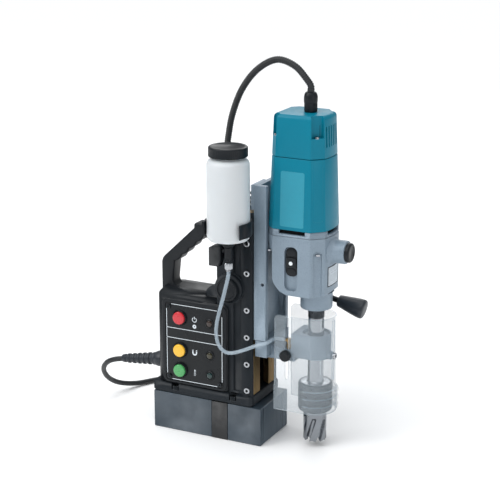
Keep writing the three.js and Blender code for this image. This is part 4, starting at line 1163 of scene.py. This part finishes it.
def make_gearbox_fittings():
    """The boss's cap, the vents with a near-black sheet inside them as painted shade, and the screws."""
    low, high = corners("boss_cap")
    cap = [(0, low.x), (9.6, low.x), (9.6, 190.8), (13.2, 190.8), (13.2, 194.4), (12.9, 195.4),
           (12.1, 196.2), (11.0, high.x), (9.4, high.x), (9.0, high.x - 0.7), (4.6, high.x - 0.7),
           (4.0, high.x - 0.9), (0, high.x - 0.9)]
    turned("boss_cap_disc", cap, at(0, 0, BOSS_LEVEL, FORWARD), 56, BLACK, "carriage", "black_plastic",
           ["boss_cap"])
    eased("vent_ring", 0.4, SILVER)
    low, high = corners("vent_ring")
    # A near-black sheet inside the vent ring: painted shade seen through the vents.
    bm = bmesh.new()
    slab(bm, drill_plan(5.6), low.z + 0.6, high.z - 0.1)
    piece("vent_painted_shade_sheet", bm, SHADE_AND_TRIM_BLACK, "carriage")
    inward = FRONT_CHAMFER / 2 - 1
    bm = bmesh.new()
    for side in (-1, 1):
        socket_screw(bm, DRILL_X[1] - inward, side * (DRILL_HALF - inward), 284.2, DOWN, 3.4, 2.6, 1.7, 1.6)
        socket_screw(bm, DRILL_X[0] + 4.4, side * 33.2, 283.2, DOWN, 3.0, 2.2, 1.5, 1.2)
    piece("gearbox_screws", bm, STEEL, "carriage")


def make_rating_plate():
    """A blank plate and its dark rim, laid on the swelling front face."""
    half, z0, z1, rim = 15.5, 236.5, 262, 0.9

    def lay(bm, y0, y1, v0, v1, high, count=10):
        bottom = [(lerp(y0, y1, i / count), v0) for i in range(count + 1)]
        start = len(bm.verts)
        slab(bm, bottom + [(y, v1) for y, _ in reversed(bottom)], -0.3, high, plane="yz")
        bm.verts.ensure_lookup_table()
        for v in bm.verts[start:]:
            v.co.x += DRILL_X[1] + 3 - 3 * (v.co.y / 23) ** 2

    bm = bmesh.new()
    lay(bm, -half, half, z0, z1, 0.35)
    piece("rating_plate", bm, PLATE, "carriage")
    bm = bmesh.new()
    lay(bm, -half - rim, half + rim, z0 - rim, z0, 0.45)
    lay(bm, -half - rim, half + rim, z1, z1 + rim, 0.45)
    lay(bm, -half - rim, -half, z0, z1, 0.45, 1)
    lay(bm, half, half + rim, z0, z1, 0.45, 1)
    piece("rating_plate_rim", bm, SHADE_AND_TRIM_BLACK, "carriage")


def make_selector():
    """The sliding plate with a raised tab at each end and a pad and button between them."""
    low, high = corners("speed_selector")
    base = high.y - 1.8
    x0, x1 = low.x + 1.6, high.x - 1.6
    bm = bmesh.new()
    slab(bm, rectangle(low.x, high.x, low.z, high.z, 6.8, 8), base, high.y, 0.3, "xz")
    slab(bm, rectangle(x0, x1, 277.4, high.z - 1.4, 5.2, 8), base - 1.1, base + 0.2, 0.5, "xz")
    slab(bm, rectangle(x0, x1, low.z + 1.4, 261, 5.2, 8), base - 0.7, base + 0.2, 0.4, "xz")
    slab(bm, rectangle(low.x + 0.8, high.x - 0.8, 262, 276, 1.5, 4), base - 2.6, base + 0.2, 0.7, "xz")
    piece("speed_slider", bm, BLACK, "selector", ["speed_selector"])
    dot = [(0, 0), (2.7, 0), (2.7, 0.7), (2.3, 1.05), (0, 1.15)]
    turned("speed_slider_button", dot, at(middle("speed_selector")[0], base - 2.5, 268.5, NEAR), 32,
           WHITE_DOT, "selector", "black_plastic")


MOTOR_AXIS = 128.5
MOTOR_BASE, MOTOR_SEAM, MOTOR_TOP = 313.3, 410.0, 466.0
SCREW_LEVEL = 437.0


def motor_scale(z):
    """The motor narrows upwards about its own axis, a little at first and then more."""
    if z < MOTOR_SEAM:
        return lerp(1, 0.92, (z - MOTOR_BASE) / (MOTOR_SEAM - MOTOR_BASE))
    return lerp(0.92, 0.87, (z - MOTOR_SEAM) / (MOTOR_TOP - MOTOR_SEAM))


def loft(bm, plan, levels):
    """The motor's outline at each (height, inset), scaled about the motor's axis."""
    rings = []
    for z, depth in levels:
        k = motor_scale(z) * (1 - depth / DRILL_HALF)
        rings.append([bm.verts.new((MOTOR_AXIS + (p.x - MOTOR_AXIS) * k, p.y * k, z)) for p in plan])
    stack(bm, rings)


def motor_corner(sx, sy, z, out=0.0):
    """The middle of a corner's chamfer at that height."""
    chamfer = FRONT_CHAMFER if sx > 0 else REAR_CHAMFER
    x = DRILL_X[1] if sx > 0 else DRILL_X[0]
    k = motor_scale(z)
    px = x - sx * (chamfer / 2 - out)
    py = sy * (DRILL_HALF - chamfer / 2 + out)
    return Vector((MOTOR_AXIS + (px - MOTOR_AXIS) * k, py * k, z))


CORNERS = [(1, -1, 7), (1, 1, 7), (-1, -1, 4.6), (-1, 1, 4.6)]


def make_motor_case():
    """The motor's case with a raised face on each chamfer, and its cap with notches and vents."""
    plan = soften(drill_plan(), 2.4, 4)
    plan = [p for i, p in enumerate(plan) if (p - plan[i - 1]).length > 0.02]
    bm = bmesh.new()
    loft(bm, plan, rounded_levels(MOTOR_BASE, MOTOR_SEAM - 0.5, 0.8, 0.7, 3))
    for sx, sy, half in CORNERS:
        start = len(bm.verts)
        slab(bm, rectangle(-half, half, MOTOR_BASE + 14, MOTOR_SEAM - 1.2, 1.4), -0.6, 1.5, 0.25, "xz")
        bm.verts.ensure_lookup_table()
        for v in bm.verts[start:]:
            v.co = corner_frame(sx, sy, motor_corner(sx, sy, v.co.z)) @ Vector((v.co.x, -v.co.y, 0))
    piece("motor_shell", bm, TEAL, "carriage", ["motor_housing"], 30)

    bm = bmesh.new()
    loft(bm, plan, rounded_levels(MOTOR_SEAM + 0.3, MOTOR_TOP, 0.7, 5.5, 6))
    cap = to_object("motor_cap", bm, TEAL, 30)
    cutters = []
    for sx, sy, half in CORNERS:
        notch = rectangle(-half - 1.5, half + 1.5, -6.6, 14, 3, 6)
        cutters.append(cutter(notch, 0, 60, place=corner_frame(sx, sy, motor_corner(sx, sy, SCREW_LEVEL))))
    for i in range(6):
        y = -16 + 6 * i
        cutters.append(cutter(rectangle(y - 1.25, y + 1.25, 424, 452, 1.2, 5), 152, 190, "yz"))
    carve(cap, *cutters)
    settle(cap, "carriage", ["motor_end_cap"])


def make_motor_fittings():
    """A near-black sheet behind the vents as painted shade, the gland, the cap's screws and the blank
    decal.
    """
    # A near-black sheet behind the cap's vents: painted shade seen through them.
    bm = bmesh.new()
    slab(bm, rectangle(-19, 20, 421, 455, 2), 154, 156.5, plane="yz")
    piece("cap_vent_painted_shade_sheet", bm, SHADE_AND_TRIM_BLACK, "carriage")
    low, high = [corner.z for corner in corners("motor_gland")]
    dome = [(0, low + 12), (8.8, low + 12), (9.1, low + 13.5), (9.1, high - 6), (8.2, high - 3),
            (7, high - 0.8), (5.4, high), (0, high)]
    make_gland("motor_gland_nut", "motor_gland", "carriage", 16.6, 12.6, dome, 72,
               ribbed(0.3, 0.5, low + 13, high - 5))
    bm = bmesh.new()
    for sx, sy, _ in CORNERS:
        socket_screw(bm, *motor_corner(sx, sy, SCREW_LEVEL - 0.2, -2.2), UP, 3.2, 2.6, 1.7, 1.5)
    piece("motor_screws", bm, STEEL, "carriage")
    bm = bmesh.new()
    slab(bm, rectangle(109, 143, 318, 392, 2.5, 5), -0.18, 0.3, plane="xz")
    for v in bm.verts:
        v.co.y -= DRILL_HALF * motor_scale(v.co.z)
    piece("motor_decal", bm, DECAL, "carriage")
    frame["nodes"]["motor_stator"].data.materials[0] = COPPER
    for node in ("motor_rotor", "layshaft", "feed_pinion"):
        frame["nodes"][node].data.materials[0] = DARK


# ---------- spindle and cutter ----------
def make_spindle():
    """The arbor with its drift slot and dark holder, its set screw and its collar."""
    x, foot = SPINDLE_X, corners("spindle")[0].z
    nose, arbor, holder, top, screw_level = 187, 10.8, 23.5, 94, 72
    profile = [(0, 86), (10, 86), (10, foot), (holder - 2.2, foot), (holder - 0.6, 54.4), (holder, 57),
               (holder, 78.9), (holder - 0.5, 79.3), (holder - 0.5, 80.1), (holder, 80.5),
               (holder, top - 3.4), (holder - 0.5, top - 1.6), (holder - 2, top - 0.4), (holder - 5, top),
               (arbor + 1.6, top), (arbor + 0.4, top + 1.2), (arbor, top + 3), (arbor, nose - 1),
               (arbor - 0.8, nose), (8.7, nose + 0.5), (8.7, 242), (13.6, 242), (13.6, 262), (8.7, 262),
               (8.7, 276), (0, 276)]
    bm = bmesh.new()
    lathe(bm, profile, at(x, 0, 0), 96)
    shaft = to_object("arbor_shaft", bm, STEEL)
    drift_slot = cutter(rectangle(-4, 4, 170.5, 184.5, 3.9, 8), x + 5.5, x + 20, "yz")
    carve(shaft, drift_slot, bore(at(x + holder - 6, 0, screw_level, FORWARD), 4.2, 0, 14, 28))
    paint_faces(shaft, DARK, lambda c, n: c.z < top - 0.6 and n.z < 0.9)
    settle(shaft, "spindle", ["spindle"])
    bm = bmesh.new()
    socket_screw(bm, x + holder - 5.6, 0, screw_level, FORWARD, 4.0, 3.4, 2.2, 2.4)
    piece("arbor_set_screw", bm, BLACK_OXIDE, "spindle")
    collar = [(8.6, 186.6), (arbor + 0.35, 186.6), (arbor + 0.35, 198.4), (8.6, 198.4)]
    turned("arbor_collar", collar, at(x, 0, 0), 64, DARK, "spindle", "dark_steel", closed=True)


def make_cutter():
    """A helical annular cutter: a toothed ring of flutes, its bore, and the shank above."""
    low, high = corners("annular_cutter")
    outer, bore_radius, teeth, gullet_depth = 16.0, 11.6, 6, 3.9
    flute_top, twist, ceiling, shoulder = 44.5, 0.9, 43.7, 51.9
    steps, levels = 180, 44
    bm = bmesh.new()

    def round_ring(radius, level):
        """A ring of vertices whose radius and level are numbers or depend on the angle."""
        made = []
        for i in range(steps):
            a = TAU * i / steps
            z = level(a) if callable(level) else level
            r = radius(a, z) if callable(radius) else radius
            made.append(bm.verts.new((SPINDLE_X + r * math.cos(a), r * math.sin(a), z)))
        return made

    def fluted(a, z):
        share = (teeth * (a - twist * (z - low.z) / ceiling) / TAU) % 1.0
        fade = 1 - eased_step(z, flute_top - 6, flute_top)
        if share < 0.42:
            gullet = eased_step(share, 0, 0.05) * (1 - eased_step(share, 0.3, 0.42))
            return outer - gullet_depth * gullet * fade
        return outer - 0.25 * fade * eased_step(share, 0.6, 1.0)

    def toothed(a):
        share = (teeth * a / TAU) % 1.0
        if share < 0.4:
            return low.z + 5.0 * (1 - abs(share / 0.4 * 2 - 1) ** 2)
        return low.z + 1.6 * (1 - abs((share - 0.4) / 0.6 * 2 - 1))

    rings = [round_ring(fluted, lambda a, share=k / levels: lerp(toothed(a), shoulder, share))
             for k in range(levels + 1)]
    for radius, level in ((15.2, 52.7), (9.5, 52.7), (9.5, high.z - 1), (8.6, high.z)):
        rings.append(round_ring(radius, level))
    mouth = round_ring(bore_radius, lambda a: toothed(a) + 0.8)
    roof = round_ring(bore_radius, ceiling)
    for a, b in list(zip(rings, rings[1:])) + [(rings[0], mouth), (mouth, roof)]:
        bridge(bm, a, b)
    bm.faces.new(rings[-1])
    bm.faces.new(roof)
    piece("cutter_body", bm, CUTTER_STEEL, "spindle", ["annular_cutter"], 30)


# ---------- guard ----------
GUIDE_ANGLE = math.radians(-5)


def make_guard():
    """The clear guard: one bent sheet with three ribs and a ledge, and two slots cut in it."""
    low, high = corners("chip_guard")
    outer, thick, corner = 28.0, 2.0, 6.0
    straight = SPINDLE_X - low.x
    arc = math.pi * outer
    total = 2 * straight + arc
    flat_steps, arc_steps = 14, 48
    ribs, rib_height, rib_depth = 3, 8, 2.9
    rib_bases = [low.z + 2.6 + 11 * i for i in range(ribs)]
    stations = [straight * i / flat_steps for i in range(flat_steps + 1)]
    stations += [straight + arc * i / arc_steps for i in range(1, arc_steps)]
    stations += [straight + arc + straight * i / flat_steps for i in range(flat_steps + 1)]
    levels = [low.z, low.z + 0.5, 88, 88.6, 88.9, 89.2, 89.5, 89.8, 95, 110, 130, 150, 170, 180, 186]
    levels += [high.z - t for t in (0, 0.4, 1, 2, 3, 4.5, 6)]
    for base in rib_bases:
        levels += [base + rib_height * t for t in (0.04, 0.12, 0.25, 0.5, 0.75, 0.88, 0.96)]
        levels += [base - 0.01, base + rib_height + 0.01]
    levels = sorted(set(levels))

    def swell(s, z):
        """How far the sheet stands out at this place along it and this height."""
        rise = 0.0
        for base in rib_bases:
            t = (z - base) / rib_height
            if 0 < t < 1:
                rise = max(rise, rib_depth * math.sin(math.pi * t) ** 0.55)
        ledge = 1.2 * (1 - eased_step(z, 88.6, 89.8))
        return ledge + rise * eased_step(min(s, total - s), straight - 9, straight - 4)

    def spot(s, z, depth):
        """A place on the sheet, whose free edges are rounded off at the top."""
        r = outer + swell(s, z) - depth
        cut = max(0.0, corner - (high.z - z))
        edge_x = low.x + corner - math.sqrt(max(0.0, corner ** 2 - cut ** 2))
        if s <= straight:
            return Vector((lerp(edge_x, SPINDLE_X, s / straight), -r, z))
        if s >= straight + arc:
            return Vector((lerp(SPINDLE_X, edge_x, (s - straight - arc) / straight), r, z))
        a = -math.pi / 2 + (s - straight) / outer
        return Vector((SPINDLE_X + r * math.cos(a), r * math.sin(a), z))

    bm = bmesh.new()
    outside = [[bm.verts.new(spot(s, z, 0)) for s in stations] for z in levels]
    inside = [[bm.verts.new(spot(s, z, thick)) for s in stations] for z in levels]
    for sheet in (outside, inside):
        for a, b in zip(sheet, sheet[1:]):
            bridge(bm, a, b, closed=False)
    for k in (0, -1):
        bridge(bm, outside[k], inside[k], closed=False)
    for k in (0, -1):
        bridge(bm, [row[k] for row in outside], [row[k] for row in inside], closed=False)
    guard = to_object("guard_shell", bm, GUARD_CLEAR, 50)
    near = cutter(rectangle(113.2, 117.8, 99, 187.5, 2.2, 6), -outer - 4, -outer + 4, "xz")
    side = cutter(rectangle(-2.4, 2.4, 100.5, 186.5, 2.3, 6), outer - 4, outer + 5, "yz",
                  Matrix.Translation((SPINDLE_X, 0, 0)) @ Matrix.Rotation(GUIDE_ANGLE, 4, "Z"))
    carve(guard, near, side)

    def across(c, n):
        """How nearly a face points straight out of the sheet or into it."""
        out = Vector((max(0.0, c.x - SPINDLE_X), c.y, 0)).normalized()
        return abs(n.dot(out))

    paint_faces(guard, GUARD_EDGE, lambda c, n: across(c, n) < 0.5)
    settle(guard, "guard", ["chip_guard"])


def make_guard_fittings():
    """The knob that clamps the guard, and the screw that guides its other slot."""
    place, length = near_face("guard_knob")
    head = length - 8.6
    knob = [(0, 0), (1.9, 0), (1.9, head), (6.9, head), (7.8, head + 0.8), (7.8, length - 1.9),
            (7.3, length - 0.9), (6.3, length - 0.2), (4.6, length), (4.2, length - 0.4),
            (0, length - 0.4)]
    turned("guard_knob_grip", knob, place, 120, BLACK, "guard_knob", "black_plastic", ["guard_knob"], 40,
           turn=lambda a, r, h: r - 0.25 * (1 + math.cos(a * 20)) if r > 7.2 and h > head else r)
    level, shank_start, head_start = 135, 21.5, 28.3
    direction = (math.cos(GUIDE_ANGLE), math.sin(GUIDE_ANGLE), 0)

    def outward(reach):
        return SPINDLE_X + reach * direction[0], reach * direction[1], level

    bm = bmesh.new()
    socket_screw(bm, *outward(head_start), direction, 4.6, 2.6, 2.4, 1.5)
    lathe(bm, [(0, 0), (1.9, 0), (1.9, 6.9), (0, 6.9)], at(*outward(shank_start), direction), 20)
    piece("guard_guide_screw", bm, STEEL, "carriage")


# ---------- feed capstan ----------
def make_feed():
    """The hub and its three arms, each with a collar and a tapered knob."""
    x, z = 35, 222
    y0, y1 = 42.3, 63.0
    hub = [(0, 48.4), (8.3, 48.4), (8.3, y0), (16.4, y0), (17, y0 + 0.6), (17, y1 - 3.4), (16.6, y1 - 2),
           (15.4, y1 - 0.7), (13.6, y1), (9, y1), (8.4, y1 - 0.6), (8.4, y1 - 2.2), (4.4, y1 - 2.2),
           (4.4, y1 - 4), (0, y1 - 4)]
    turned("capstan_hub", hub, at(x, 0, z, (0, 1, 0)), 64, BLACK_OXIDE, "feed", "dark_steel", ["feed_hub"])
    arms, first, neck, tip, rod = 3, -13.5, 123.0, 163.0, 4.0
    cant = math.atan2(11, tip)
    collar = [(4.1, 15.5), (6.2, 15.5), (6.2, 18.6), (5.4, 19.6), (4.1, 19.6)]
    knob = [(4.3, neck + 11.6), (4.3, neck), (6.6, neck), (7.8, neck + 0.8), (8.5, neck + 2.6),
            (9.4, neck + 8), (10.7, neck + 15), (12.0, neck + 22), (13.1, neck + 29),
            (13.6, tip - 5), (13.4, tip - 2.8), (12.4, tip - 1.1), (10.6, tip - 0.3), (7, tip), (0, tip)]
    for i in range(arms):
        angle = math.radians(first + 360 / arms * i)
        place = at(x, 49, z, (math.cos(angle) * math.cos(cant), math.sin(cant),
                              math.sin(angle) * math.cos(cant)))
        bm = bmesh.new()
        lathe(bm, [(0, 10), (rod, 10), (rod, neck + 8), (0, neck + 8)], place, 28)
        lathe(bm, collar, place, 28, closed=True)
        piece(f"capstan_arm_{i + 1}", bm, BLACK_OXIDE, "feed")
        turned(f"capstan_knob_{i + 1}", knob, place, 56, RUBBER, "feed", "black_rubber",
               [f"feed_knob_{i + 1}"])


make_slide()
make_gearbox_shell()
make_gearbox_fittings()
make_rating_plate()
make_selector()
make_motor_case()
make_motor_fittings()
make_spindle()
make_cutter()
make_guard()
make_guard_fittings()
make_feed()


# ---------- floor and light ----------
def add_light(name, kind, energy, aim, place=(0, 0, 0), **values):
    data = bpy.data.lights.new(name, kind)
    data.energy = energy
    for key, value in values.items():
        setattr(data, key, value)
    light = bpy.data.objects.new(name, data)
    light.location = place
    light.rotation_euler = Vector(aim).to_track_quat("-Z", "Y").to_euler()
    scene.collection.objects.link(light)


def make_stage():
    """A pale floor, a sky that brightens overhead, a broad sun and three soft lamps."""
    bm = bmesh.new()
    bmesh.ops.create_grid(bm, x_segments=2, y_segments=2, size=6000)
    bmesh.ops.translate(bm, vec=(0, 0, -0.2), verts=bm.verts)
    floor_finish = Finish("studio_floor", (0.95, 0.95, 0.95, 1), 0.7)
    floor_finish.mottle(3, 0.99, 0.3)
    to_object("studio_floor", bm, floor_finish.material)
    world = bpy.data.worlds.new("studio")
    world.use_nodes = True
    links, nodes = world.node_tree.links, world.node_tree.nodes
    direction = nodes.new("ShaderNodeSeparateXYZ")
    links.new(nodes.new("ShaderNodeTexCoord").outputs["Generated"], direction.inputs[0])
    sky = nodes.new("ShaderNodeMapRange")
    for key, value in (("From Min", 0.1), ("From Max", 0.9), ("To Min", 0.24), ("To Max", 0.8)):
        sky.inputs[key].default_value = value
    links.new(direction.outputs["Z"], sky.inputs["Value"])
    nodes["Background"].inputs["Color"].default_value = (0.95, 0.975, 1.0, 1)
    links.new(sky.outputs["Result"], nodes["Background"].inputs["Strength"])
    scene.world = world
    add_light("overhead", "SUN", 1.75, (0.28, 0.42, -1.0), angle=1.2)
    target = Vector((0.04, 0, 0.22))
    for name, place, size, energy in (("key", (-1.2, -1.6, 1.5), 0.9, 12),
                                      ("fill", (2.0, -0.9, 0.8), 0.8, 5),
                                      ("rim", (-0.6, 1.9, 1.4), 1.2, 8)):
        add_light(name, "AREA", energy, target - Vector(place), place, shape="DISK", size=size)
    scene.view_settings.view_transform = "Standard"


make_stage()
